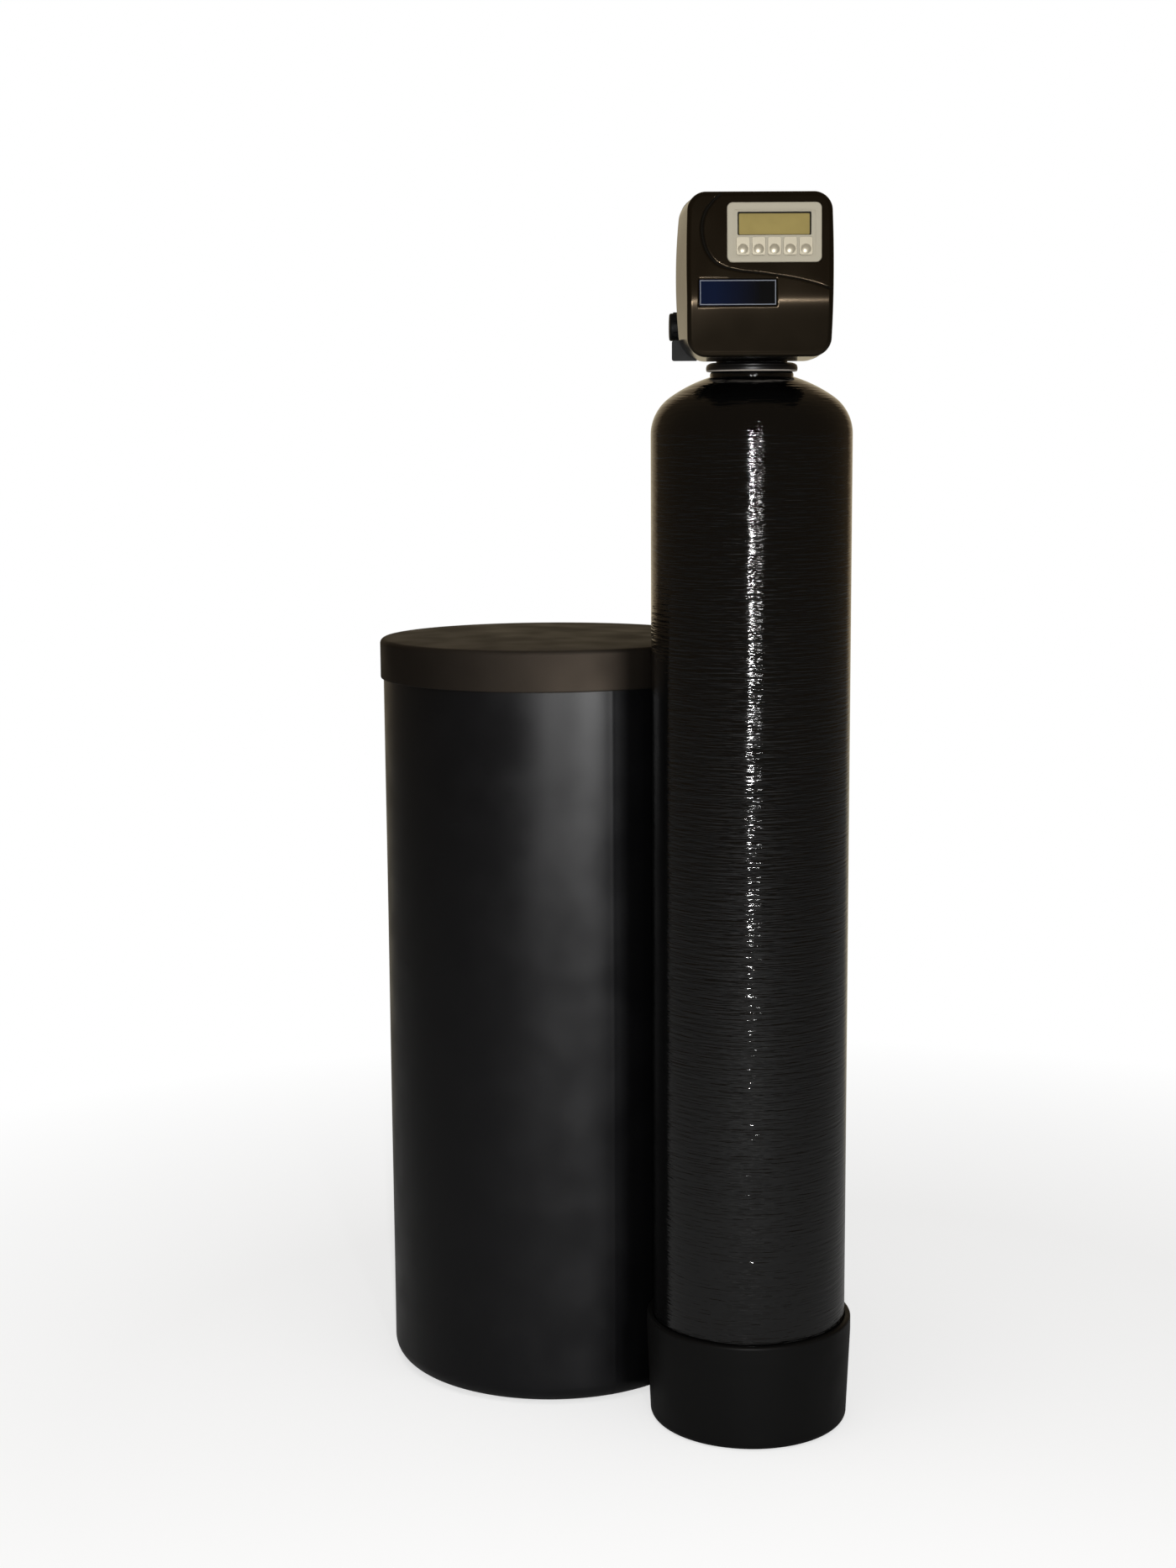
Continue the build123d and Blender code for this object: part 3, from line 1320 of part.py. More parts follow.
def make_lid():
    """The lift-off lid: a low crown, a rounded edge, a deep skirt and a seat on the tank's rim."""
    under_z = lid_rim_z - lid_wall
    inner = lid_radius - lid_wall
    seat_z = brine_height + seat_gap
    round_share = 1 - math.sqrt(0.5)
    edge_in = lid_radius - lid_edge_round
    edge_low = lid_rim_z - lid_edge_round

    def crowned(reach, rim_z):
        """A shallow arc about the axis, from its top down to the rim."""
        ball = (reach ** 2 + lid_crown ** 2) / (2 * lid_crown)
        top_z = rim_z + lid_crown
        half_drop = ball - math.sqrt(ball ** 2 - (reach / 2) ** 2)
        return ThreePointArc((0, top_z), (reach / 2, top_z - half_drop), (reach, rim_z))

    outline = [
        Line((0, under_z + lid_crown), (0, lid_rim_z + lid_crown)),
        crowned(edge_in, lid_rim_z),
        ThreePointArc(
            (edge_in, lid_rim_z),
            (lid_radius - round_share * lid_edge_round, lid_rim_z - round_share * lid_edge_round),
            (lid_radius, edge_low),
        ),
        Line((lid_radius, edge_low), (lid_radius, lid_skirt_z)),
        Line((lid_radius, lid_skirt_z), (inner, lid_skirt_z)),
        Line((inner, lid_skirt_z), (inner, seat_z)),
        Line((inner, seat_z), (inner - lid_seat_width, seat_z)),
        Line((inner - lid_seat_width, seat_z), (inner - lid_seat_width, under_z)),
        crowned(inner - lid_seat_width, under_z),
    ]
    return turned(outline, brine_x, brine_y)


keep("brine_tank", make_brine_tank())
keep("brine_lid", make_lid())

# Inside the salt tank: grid on legs, brine well with cap, float valve, air check and overflow

grid_z = 165.0
grid_thickness = 8.0
grid_gap = 2.0
grid_radius = brine_radius - brine_wall - grid_gap
grid_hole_radius = 7.0
grid_hole_pitch = 42.0
leg_radius = 24.0
leg_wall = 3.0
leg_share = 0.55
leg_turns = (90, 150, 210, 270)
well_turn = line_hole_turn
well_radius = 51.0
well_wall = 2.5
well_gap = 1.6
well_distance = brine_radius - brine_base_round - well_radius - well_gap
well_below_rim = 24.0
well_top_z = brine_height - well_below_rim
well_slot_high_z = 70.0
well_slot_width = 8.0
well_slots = 4
well_cap_lip = 10.0
well_cap_wall = 2.5
valve_below_well = 26.0
valve_height = 86.0
valve_high_z = well_top_z - valve_below_well
valve_low_z = valve_high_z - valve_height
valve_radius = 16.0
valve_arm_radius = 7.0
valve_offset = 12.0
valve_port_bore = 4.8
valve_port_reach = 24.0
valve_port_depth = 12.0
valve_port_radius = 8.5
dip_radius = 5.0
dip_wall = 1.2
check_low_z = 14.0
check_high_z = 74.0
check_radius = 14.0
check_wall = 2.0
check_slots = 6
float_rod_radius = 2.2
float_rod_tail = 30.0
float_radius = 19.0
float_hang = 290.0
float_low_z = valve_low_z - float_hang
float_rod_low_z = float_low_z - float_rod_tail
float_height = 55.0
float_stop = 6.0
float_stop_radius = 6.0
float_lift = 12.0
float_offset = 22.0
overflow_wall_nut = 24.0
overflow_nut_thickness = 7.0
overflow_flange_radius = 15.0
overflow_flange = 4.0
overflow_arm = 26.0
overflow_drop = 38.0
overflow_bend = 14.0
overflow_bore = 7.5
well_x = brine_x + well_distance * math.cos(math.radians(well_turn))
well_y = brine_y + well_distance * math.sin(math.radians(well_turn))


def make_grid():
    """The salt grid: a round plate with a square pattern of holes and a hole for the well."""
    grid = bar(grid_radius, grid_z, grid_z + grid_thickness, (brine_x, brine_y))
    grid -= bar(well_radius + seat_gap, grid_z - cut_over, grid_z + grid_thickness + cut_over,
                (well_x, well_y))
    count = int(grid_radius / grid_hole_pitch)
    holes = []
    for i in range(-count, count + 1):
        for j in range(-count, count + 1):
            x = brine_x + i * grid_hole_pitch
            y = brine_y + j * grid_hole_pitch
            from_edge = grid_radius - math.hypot(x - brine_x, y - brine_y)
            from_well = math.hypot(x - well_x, y - well_y) - well_radius
            if from_edge > 2 * grid_hole_radius and from_well > 2 * grid_hole_radius:
                hole = Pos(x, y, grid_z - cut_over) * extrude(
                    RegularPolygon(grid_hole_radius, 6), grid_thickness + 2 * cut_over)
                holes.append(hole)
    return grid - holes


def make_well():
    """The brine well: a tube up from the tank's floor, slotted at the foot and holed for the line."""
    well = ring(well_radius, well_radius - well_wall, brine_wall, well_top_z, (well_distance, 0))
    slot = block(0, well_radius + cut_over, -well_slot_width / 2, well_slot_width / 2,
                 brine_wall + 2 * well_wall, well_slot_high_z)
    turns = [360 / well_slots * i for i in range(well_slots)]
    well -= [Pos(well_distance, 0, 0) * Rot(0, 0, turn) * slot for turn in turns]
    outside = well_distance + well_radius
    well -= bar(line_hole, outside - 2 * well_wall, outside + cut_over, (0, line_hole_z), "X")
    return brine_out(well_turn) * well


def make_well_cap():
    """The well's lift-off cap: a disc with a short skirt over the tube."""
    centre = (well_x, well_y)
    inner = well_radius + seat_gap
    low = well_top_z - well_cap_lip
    cap = bar(inner + well_cap_wall, low, well_top_z + well_cap_wall, centre)
    return cap - bar(inner, low - cut_over, well_top_z, centre)


dip_reach = well_distance - valve_offset
float_reach = well_distance + float_offset


def make_float_valve():
    """The brine valve: hung from the well's wall, with a port facing the line hole and a bush for the rod."""
    valve = bar(valve_radius, valve_low_z, valve_high_z, (dip_reach, 0))
    port_end = dip_reach + valve_port_reach
    valve += bar(valve_port_radius, dip_reach, port_end, (0, line_hole_z), "X")
    arm_z = valve_high_z - valve_radius
    arm = bar(valve_arm_radius, well_distance - well_radius, dip_reach, (0, arm_z), "X")
    valve += arm & bar(well_radius - well_wall - seat_gap / 3, valve_low_z, valve_high_z, (well_distance, 0))
    bush_high = valve_low_z + valve_radius
    bush_side = float_stop_radius / 2
    valve += bar(float_stop_radius, valve_low_z, bush_high, (float_reach, 0))
    valve += block(dip_reach, float_reach, -bush_side, bush_side, valve_low_z, bush_high)
    valve -= bar(float_rod_radius + running_gap, valve_low_z - cut_over, bush_high + cut_over,
                 (float_reach, 0))
    valve -= bar(valve_port_bore, port_end - valve_port_depth, port_end + cut_over, (0, line_hole_z), "X")
    valve -= bar(dip_radius, valve_low_z - cut_over, valve_low_z + valve_radius, (dip_reach, 0))
    return brine_out(well_turn) * valve


def make_dip_tube():
    """The tube between the air check and the brine valve."""
    low = check_high_z - 4 * check_wall
    tube = ring(dip_radius - seat_gap / 3, dip_radius - dip_wall, low, valve_low_z + valve_radius,
                (dip_reach, 0))
    return brine_out(well_turn) * tube


def make_air_check():
    """The air check: a slotted cage at the foot of the dip tube."""
    centre = (dip_reach, 0)
    check = bar(check_radius, check_low_z, check_high_z, centre)
    check -= bar(check_radius - check_wall, check_low_z + check_wall, check_high_z - 3 * check_wall, centre)
    check -= bar(dip_radius, check_high_z - 4 * check_wall, check_high_z + cut_over, centre)
    slot = block(dip_radius, check_radius + cut_over, -check_wall, check_wall,
                 check_low_z + 3 * check_wall, check_high_z - 6 * check_wall)
    turns = [360 / check_slots * i for i in range(check_slots)]
    check -= [Pos(dip_reach, 0, 0) * Rot(0, 0, turn) * slot for turn in turns]
    return brine_out(well_turn) * check


def make_float():
    """The float: a bored drum with rounded ends."""
    centre = (float_reach, 0)
    high_z = float_low_z + float_height
    drum = bar(float_radius, float_low_z, high_z, centre)
    drum = fillet(drum.edges().filter_by(GeomType.CIRCLE), float_radius / 4)
    drum -= bar(float_rod_radius + seat_gap / 3, float_low_z - cut_over, high_z + cut_over, centre)
    return brine_out(well_turn) * drum


def make_float_rod():
    """The float's rod: a collar at each end of the float, one below the valve's bush and a head over it."""
    centre = (float_reach, 0)
    top = valve_low_z + valve_radius + float_stop
    lift_stop = valve_low_z - float_lift
    float_high_z = float_low_z + float_height
    rod = bar(float_rod_radius, float_rod_low_z, top, centre)
    rod += bar(float_stop_radius, float_low_z - float_stop, float_low_z, centre)
    rod += bar(float_stop_radius, float_high_z, float_high_z + float_stop, centre)
    rod += bar(float_stop_radius, lift_stop - float_stop, lift_stop, centre)
    rod += bar(float_stop_radius, top - float_stop + seat_gap, top, centre)
    return brine_out(well_turn) * rod


def make_overflow_elbow():
    """The overflow elbow: a threaded tail through the wall, a flange outside and a spout turned down."""
    tail_start = brine_radius - brine_wall - overflow_nut_thickness - 2 * overflow_flange
    arm_end = brine_radius + overflow_arm
    spout_z = overflow_z - overflow_drop

    def route(overrun):
        corner = (arm_end, 0, overflow_z)
        return (tail_start - overrun, 0, overflow_z), corner, (arm_end, 0, spout_z - overrun)

    elbow = bent_bar(route(0), overflow_hole - seat_gap, overflow_bend)
    elbow += bar(overflow_flange_radius, brine_radius + seat_gap, brine_radius + overflow_flange,
                 (0, overflow_z), "X")
    elbow -= bent_bar(route(cut_over), overflow_bore, overflow_bend)
    return brine_out(overflow_turn) * elbow


def make_overflow_nut():
    """The nut inside the wall, with its inner face cut to the wall's curve."""
    start = brine_radius - brine_wall - overflow_nut_thickness
    low = start - overflow_flange
    centre = (0, overflow_z)
    nut = hexagon(overflow_wall_nut, low, start + overflow_nut_thickness, centre, "X")
    nut -= bar(overflow_hole - seat_gap / 2, low - overflow_flange - cut_over, brine_radius, centre, "X")
    nut &= bar(brine_radius - brine_wall - seat_gap,
               overflow_z - overflow_wall_nut, overflow_z + overflow_wall_nut, (0, 0))
    return brine_out(overflow_turn) * nut


keep("salt_grid", make_grid())
keep("grid_legs", Compound([
    ring(leg_radius, leg_radius - leg_wall, brine_wall, grid_z, (
        brine_x + leg_share * grid_radius * math.cos(math.radians(turn)),
        brine_y + leg_share * grid_radius * math.sin(math.radians(turn)),
    ))
    for turn in leg_turns
]))
keep("brine_well", make_well())
keep("well_cap", make_well_cap())
keep("float_valve", make_float_valve())
keep("dip_tube", make_dip_tube())
keep("air_check", make_air_check())
keep("float_rod", make_float_rod())
keep("float", make_float())
keep("overflow_elbow", make_overflow_elbow())
keep("overflow_nut", make_overflow_nut())

os.makedirs("parts", exist_ok=True)
for name, shape in nodes.items():
    export_step(shape, "parts/" + name + ".step")
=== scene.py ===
import json
import math

import bmesh
import bpy
import numpy as np
from mathutils import Matrix, Vector


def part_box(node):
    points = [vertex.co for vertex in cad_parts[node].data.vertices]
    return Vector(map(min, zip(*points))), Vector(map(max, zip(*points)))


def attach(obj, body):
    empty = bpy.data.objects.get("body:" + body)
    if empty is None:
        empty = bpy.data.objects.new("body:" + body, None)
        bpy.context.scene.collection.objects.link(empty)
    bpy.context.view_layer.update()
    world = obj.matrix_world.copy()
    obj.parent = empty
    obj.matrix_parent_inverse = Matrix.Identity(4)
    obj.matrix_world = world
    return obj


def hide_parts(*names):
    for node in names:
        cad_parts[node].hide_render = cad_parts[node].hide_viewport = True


bl_info = {
    "name": "Two-tank water softener",
    "version": (1, 0, 0),
    "blender": (4, 5, 0),
    "location": "3D View > Sidebar > Softener",
    "description": "Dresses a packed water softener with its real surfaces, finishes, light and camera",
    "category": "Object",
}

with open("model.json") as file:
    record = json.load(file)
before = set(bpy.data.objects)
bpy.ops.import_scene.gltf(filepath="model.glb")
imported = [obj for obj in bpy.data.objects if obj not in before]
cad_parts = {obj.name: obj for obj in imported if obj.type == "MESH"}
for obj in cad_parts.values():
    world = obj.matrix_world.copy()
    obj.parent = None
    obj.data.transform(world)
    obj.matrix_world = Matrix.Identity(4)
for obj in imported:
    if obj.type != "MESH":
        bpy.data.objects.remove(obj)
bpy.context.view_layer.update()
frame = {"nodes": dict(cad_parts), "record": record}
MM = 0.001
# Points along each side and round each corner of a rounded outline.
SIDE_POINTS = 110
CORNER_POINTS = 24
# Points that are closer than this are one point, and edges that bend more than this stay sharp.
MERGE_DISTANCE = 0.001 * MM
SHARP_EDGE = math.radians(35)
WHITE = (1, 1, 1, 1)
# The backdrop fades in for mirrored rays between these shares of straight back.
BACKDROP_REACH = (0.75, 1.0)


# Helpers for sizes and colours


def linear(code):
    """The linear colour of an sRGB hex value, with full alpha."""
    parts = [int(code[i:i + 2], 16) / 255 for i in (1, 3, 5)]
    return (*[p / 12.92 if p <= 0.04045 else ((p + 0.055) / 1.055) ** 2.4 for p in parts], 1.0)


def hex_property(name, what, code):
    """A colour setting whose default is an sRGB hex value."""
    return bpy.props.FloatVectorProperty(
        name=name, description=f"Colour of the {what}", subtype="COLOR", size=4, min=0, max=1, default=linear(code))


def number_property(name, description, value, **more):
    """A number setting."""
    return bpy.props.FloatProperty(name=name, description=description, default=value, **more)


def length_property(name, description, value_mm):
    """A length setting in metres, given in millimetres."""
    return number_property(name, description, value_mm * MM, unit="LENGTH", precision=5)


def angle_property(name, description, degrees):
    """An angle setting, given in degrees."""
    return number_property(name, description, math.radians(degrees), unit="ROTATION")


def power_property(name, what, watts):
    """A lamp's power."""
    return number_property(name, f"Power of the {what}", watts, unit="POWER")


def scaled(color, factor):
    """A colour made darker or lighter by a factor, no channel over 1."""
    return [min(1, channel * factor) for channel in tuple(color)[:3]] + [1.0]


# Helpers for surfaces


def line(start, end, count):
    """Points evenly spaced from start to end, both included."""
    share = np.linspace(0, 1, count)[:, None]
    return np.asarray(start) * (1 - share) + np.asarray(end) * share


def arc(centre, radius, start, end, count):
    """Points on a circle: centre plus radius times the cosine and sine of an angle from start to end degrees."""
    turn = np.radians(np.linspace(start, end, count))
    return np.stack([centre[0] + radius * np.cos(turn), centre[1] + radius * np.sin(turn)], axis=1)


def grid_piece(name, points, close_columns=False):
    """A mesh over a grid of points: quads join neighbours, points that coincide merge, and bent edges stay sharp."""
    rows, columns = points.shape[:2]
    index = np.arange(rows * columns).reshape(rows, columns)
    if close_columns:
        index = np.hstack([index, index[:, :1]])
    quads = np.stack([index[:-1, :-1], index[:-1, 1:], index[1:, 1:], index[1:, :-1]], axis=-1).reshape(-1, 4)
    mesh = bpy.data.meshes.new(name)
    mesh.from_pydata(points.reshape(-1, 3).tolist(), [], quads.tolist())
    merged = bmesh.new()
    merged.from_mesh(mesh)
    bmesh.ops.remove_doubles(merged, verts=merged.verts, dist=MERGE_DISTANCE)
    bmesh.ops.dissolve_degenerate(merged, edges=merged.edges, dist=MERGE_DISTANCE)
    bmesh.ops.recalc_face_normals(merged, faces=merged.faces)
    merged.to_mesh(mesh)
    merged.free()
    mesh.polygons.foreach_set("use_smooth", np.ones(len(mesh.polygons), bool))
    mesh.set_sharp_from_angle(angle=SHARP_EDGE)
    piece = bpy.data.objects.new(name, mesh)
    bpy.context.scene.collection.objects.link(piece)
    return piece


def turned_piece(name, profile, segments, centre=(0, 0), swell=None):
    """A profile of radius and height turned about an upright axis: x and y are radius times cosine and sine.

    swell, if given, is a function of angle and height whose value is added to the radius, but not at the axis."""
    turn = np.linspace(0, 2 * math.pi, segments, endpoint=False)
    radius, height = profile[:, :1], profile[:, 1:]
    if swell is not None:
        radius = radius + swell(turn, height) * (radius > 0)
    points = np.stack([
        centre[0] + radius * np.cos(turn), centre[1] + radius * np.sin(turn), height + 0 * turn,
    ], axis=-1)
    return grid_piece(name, points, close_columns=True)


def bore_hole(piece, centre, axis, radius, length, segments=48):
    """Cuts a round hole through a piece: a cylinder round a level axis, taken away by a Boolean modifier.

    Its points are the centre plus a length along the axis, and radius times cosine upwards and sine sideways."""
    centre, axis = np.asarray(centre), np.asarray(axis)
    turn = np.linspace(0, 2 * math.pi, segments, endpoint=False)
    sideways = np.array((-axis[1], axis[0], 0))
    round_it = np.cos(turn)[:, None] * (0, 0, 1) + np.sin(turn)[:, None] * sideways
    rings = [centre + along * length * axis + share * radius * round_it
             for share, along in ((0, -0.5), (1, -0.5), (1, 0.5), (0, 0.5))]
    cutter = grid_piece("hole_cutter", np.stack(rings), close_columns=True)
    modifier = piece.modifiers.new("hole", "BOOLEAN")
    modifier.object, modifier.operation, modifier.solver = cutter, "DIFFERENCE", "EXACT"
    bpy.context.view_layer.update()
    solved = piece.evaluated_get(bpy.context.evaluated_depsgraph_get())
    whole, piece.data = piece.data, bpy.data.meshes.new_from_object(solved)
    piece.modifiers.clear()
    piece.data.set_sharp_from_angle(angle=SHARP_EDGE)
    bpy.data.meshes.remove(whole)
    bpy.data.meshes.remove(cutter.data)


def rounded_outline(half_width, bow, low, high, corner, middle_x=0.0):
    """An outline in x and z: four straight sides and four quarter circles, with the upright sides bowed outwards.

    The bow at a height is bow times one minus the square of that height's share of the half height."""
    half_height = (high - low) / 2
    side_x, side_z = half_width - corner, half_height - corner
    sides = (
        ((-side_x, -half_height), (side_x, -half_height)), ((half_width, -side_z), (half_width, side_z)),
        ((side_x, half_height), (-side_x, half_height)), ((-half_width, side_z), (-half_width, -side_z)),
    )
    centres = ((side_x, -side_z), (side_x, side_z), (-side_x, side_z), (-side_x, -side_z))
    parts = []
    for quarter, (side, centre) in enumerate(zip(sides, centres)):
        parts.append(line(*side, SIDE_POINTS + 1)[:-1])
        parts.append(arc(centre, corner, 90 * quarter - 90, 90 * quarter, CORNER_POINTS + 1)[:-1])
    outline = np.vstack(parts)
    outline[:, 0] *= 1 + bow / half_width * (1 - (outline[:, 1] / half_height) ** 2)
    return outline + (middle_x, (low + high) / 2)


def outward(outline):
    """Unit normals of an anticlockwise closed outline: the step between a point's neighbours, turned by 90 degrees."""
    step = np.roll(outline, -1, axis=0) - np.roll(outline, 1, axis=0)
    normal = np.stack([step[:, 1], -step[:, 0]], axis=1)
    return normal / np.linalg.norm(normal, axis=1, keepdims=True)


def smooth_curve(along, knots):
    """A curve through evenly spaced knots: Catmull and Rom's cubic, with the end knots repeated."""
    padded = np.concatenate([knots[:1], knots, knots[-1:]])
    index = np.clip(along.astype(int), 0, len(knots) - 2)
    share = along - index
    before, first, second, after = (padded[index + i] for i in range(4))
    return first + 0.5 * share * (
        second - before + share * (
            2 * before - 5 * first + 4 * second - after + share * (3 * (first - second) + after - before)))


def smooth_step(value):
    """Zero below 0, one above 1 and an S curve, three squares less two cubes, between."""
    value = np.clip(value, 0, 1)
    return value ** 2 * (3 - 2 * value)


def finish_piece(piece, material, body, slot, *nodes):
    """Gives a new piece its material and its body, and hides the nodes it stands for. The slot is not used."""
    piece.data.materials.clear()
    piece.data.materials.append(material)
    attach(piece, body)
    if nodes:
        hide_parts(*nodes)


def half_width(node):
    """Half a node's width along X."""
    low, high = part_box(node)
    return (high.x - low.x) / 2


def middle(node):
    """The middle of a node's box on X and Y."""
    low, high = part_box(node)
    return (low.x + high.x) / 2, (low.y + high.y) / 2


# Helpers for materials


def add_node(tree, kind, settings=(), **inputs):
    """Adds a shader node, sets its properties, and sets or links its inputs by name, or by i and their number."""
    node = tree.nodes.new("ShaderNode" + kind)
    for key, value in dict(settings).items():
        setattr(node, key, value)
    for key, value in inputs.items():
        numbered = key[0] == "i" and key[1:].isdigit()
        socket = node.inputs[int(key[1:]) if numbered else key.replace("_", " ")]
        if isinstance(value, bpy.types.NodeSocket):
            tree.links.new(value, socket)
        else:
            socket.default_value = value
    return node


def feed(shader, **sockets):
    """Links sockets to a shader's inputs by name, underscores for spaces."""
    for key, socket in sockets.items():
        shader.id_data.links.new(socket, shader.inputs[key.replace("_", " ")])


def bare_tree(owner):
    """The emptied node tree of a material or a world."""
    owner.use_nodes = True
    owner.node_tree.nodes.clear()
    return owner.node_tree


def new_material(name, **sockets):
    """A material with one Principled shader, whose sockets are set directly."""
    material = bpy.data.materials.new(name)
    tree = bare_tree(material)
    shader = add_node(tree, "BsdfPrincipled", **sockets)
    add_node(tree, "OutputMaterial", Surface=shader.outputs[0])
    return material, tree, shader


def math_node(tree, operation, first, second):
    """The result of a sum on two values."""
    return add_node(tree, "Math", {"operation": operation}, i0=first, i1=second).outputs[0]


def ray_kinds(tree):
    """One where the camera looks, and one where a mirrored or a transmitted ray looks."""
    path = add_node(tree, "LightPath").outputs
    return path["Is Camera Ray"], math_node(tree, "MAXIMUM", path["Is Glossy Ray"], path["Is Transmission Ray"])


def place(tree, scale=(1, 1, 1), rotation=(0, 0, 0)):
    """Object coordinates in metres, scaled and turned."""
    source = add_node(tree, "TexCoord").outputs["Object"]
    return add_node(tree, "Mapping", Vector=source, Scale=scale, Rotation=rotation).outputs[0]


def noise(tree, vector, size_mm, detail=2.0, roughness=0.5):
    """Noise whose lumps are about size_mm across."""
    node = add_node(tree, "TexNoise", Vector=vector, Scale=1 / (size_mm * MM), Detail=detail, Roughness=roughness)
    return node.outputs["Fac"]


def ramp(tree, value, low, high, to_low=0.0, to_high=1.0):
    """A value's stretch from low to high, clamped to the stretch from to_low to to_high."""
    return add_node(tree, "MapRange", i0=value, i1=low, i2=high, i3=to_low, i4=to_high).outputs[0]


def mixed(tree, share, first, second):
    """Two colours mixed by a share."""
    return add_node(tree, "Mix", {"data_type": "RGBA"}, i0=share, i6=first, i7=second).outputs[2]


def bump(tree, height, depth_mm, under=None):
    """A bump whose full height stands for depth_mm."""
    node = add_node(tree, "Bump", Height=height, Distance=depth_mm * MM)
    if under is not None:
        feed(node, Normal=under)
    return node.outputs[0]


# Settings a user would change


class ResinTankSettings(bpy.types.PropertyGroup):
    resin_black: hex_property("Resin black", "wound tank's epoxy", "#070707")
    knuckle: length_property("Knuckle radius", "Radius of the round between wall and crown", 58.0)
    crown: length_property("Crown radius", "Radius of the dome's crown", 180.0)
    shoulder: length_property("Shoulder height", "Height where the top dome starts", 1307.5)
    neck: length_property("Neck radius", "Radius of the moulded neck", 53.0)
    strand_pitch: number_property("Strand pitch", "Spacing of the wound glass strands in millimetres", 3.2)
    strand_depth: number_property("Strand depth", "Height of the wound strands in millimetres", 0.9)
    boot_black: hex_property("Boot black", "moulded boot", "#0d0d0d")


class SaltTankSettings(bpy.types.PropertyGroup):
    tub_black: hex_property("Tub black", "moulded salt tank", "#060607")
    lid_black: hex_property("Lid black", "salt tank's lid", "#0f0d0b")
    wall: length_property("Wall", "Thickness of the tub's wall", 5.0)
    base_round: length_property("Base round", "Radius of the tub's rounded foot", 24.0)
    mould_turn: angle_property("Mould line", "Bearing of the tub's mould line from +X", -68.3)


class CoverSettings(bpy.types.PropertyGroup):
    wall: length_property("Wall", "Thickness of the moulded cover", 2.5)
    back_bow: length_property("Back bow", "Outward bow of the cover's sides at its back edge", 7.0)
    back_corner: length_property("Back corner", "Corner radius at the back edge", 30.0)
    side_draft: length_property("Side draft", "How far the sides draw in from back to face", 9.2)
    low_draft: length_property("Low draft", "How far the underside draws in from back to face", 4.5)
    high_draft: length_property("High draft", "How far the top draws in from back to face", 3.0)
    face_bow: length_property("Face bow", "Outward bow of the face's sides", 2.3)
    face_corner: length_property("Face corner", "Corner radius of the face", 20.0)
    edge_round: length_property("Edge round", "Radius between the face and the sides", 6.0)
    crease_rise: length_property("Crease rise", "Height of the crease above the cover's underside", 69.5)
    crease_soft: length_property("Crease softness", "Width scale of the rounded crease", 1.6)
    upper_lean: angle_property("Upper lean", "Backward lean of the face above the crease", 4)
    lower_lean: angle_property("Lower lean", "Backward fold of the face under the crease", 10)
    bezel_seat: length_property("Bezel seat", "Depth of the display surround's seat", 1.5)
    bezel_border: length_property("Bezel border", "Width of the surround that rests on the cover", 7.5)
    groove_depth: length_property("Groove depth", "Depth of the sweeping groove at its wide end", 2.1)


class ValveSettings(bpy.types.PropertyGroup):
    cover_black: hex_property("Cover black", "valve's moulded cover", "#100d08")
    body_black: hex_property("Body black", "valve body's plastic", "#101010")
    silver: hex_property("Silver", "display surround and keys", "#aea794")
    display_olive: hex_property("Display olive", "liquid crystal display", "#a8975c")
    label_blue: hex_property("Label blue", "bare label's left side", "#08142e")
    label_black: hex_property("Label black", "bare label's right side", "#08090b")
    # A pale band painted on the collar's lower rim, a painted highlight along its edge.
    rim_highlight_paint: hex_property("Painted rim highlight", "painted highlight on the valve collar's lower rim", "#c2bab0")
    label_line: hex_property("Label line", "thin line round the bare label", "#858a94")
    knob_red: hex_property("Knob red", "bypass knobs", "#a3150f")


class StageSettings(bpy.types.PropertyGroup):
    camera_place: bpy.props.FloatVectorProperty(
        name="Camera place", description="Where the camera stands", unit="LENGTH", size=3, precision=4,
        default=(-0.2639, -3.0876, 1.3222))
    camera_pitch: angle_property("Camera pitch", "Downward tilt of the camera", 8.52)
    camera_yaw: angle_property("Camera yaw", "Turn of the camera to the right", 0.98)
    camera_roll: angle_property("Camera roll", "Roll of the camera", -0.37)
    focal_pixels: number_property("Focal length in pixels", "Focal length for an image 1866 pixels high", 2859.5)
    floor_white: hex_property("Floor", "pale floor", "#d2d2d2")
    room_warm: hex_property("Room in front", "dim room that gloss mirrors in front", "#ffdcae")
    backdrop_warm: hex_property("Backdrop warmth", "backdrop as gloss mirrors it", "#d2c6aa")
    floor_lift: number_property("Floor lift", "White that the camera sees added to the floor's own light", 0.6)
    room_light: number_property("Room light", "Strength of the even light from all round", 0.22)
    front_white: number_property("Room gloss", "Strength at which gloss mirrors the room in front", 0.12)
    key_power: power_property("Key lamp", "lamp beside the camera", 42.0)
    second_power: power_property("Second lamp", "small lamp that glints on the cover's crease", 8.0)
    top_power: power_property("Top lamp", "broad lamp overhead", 22.0)
    side_power: power_property("Side lamp", "flagged lamp that lights the salt tank", 230.0)


# Finishes


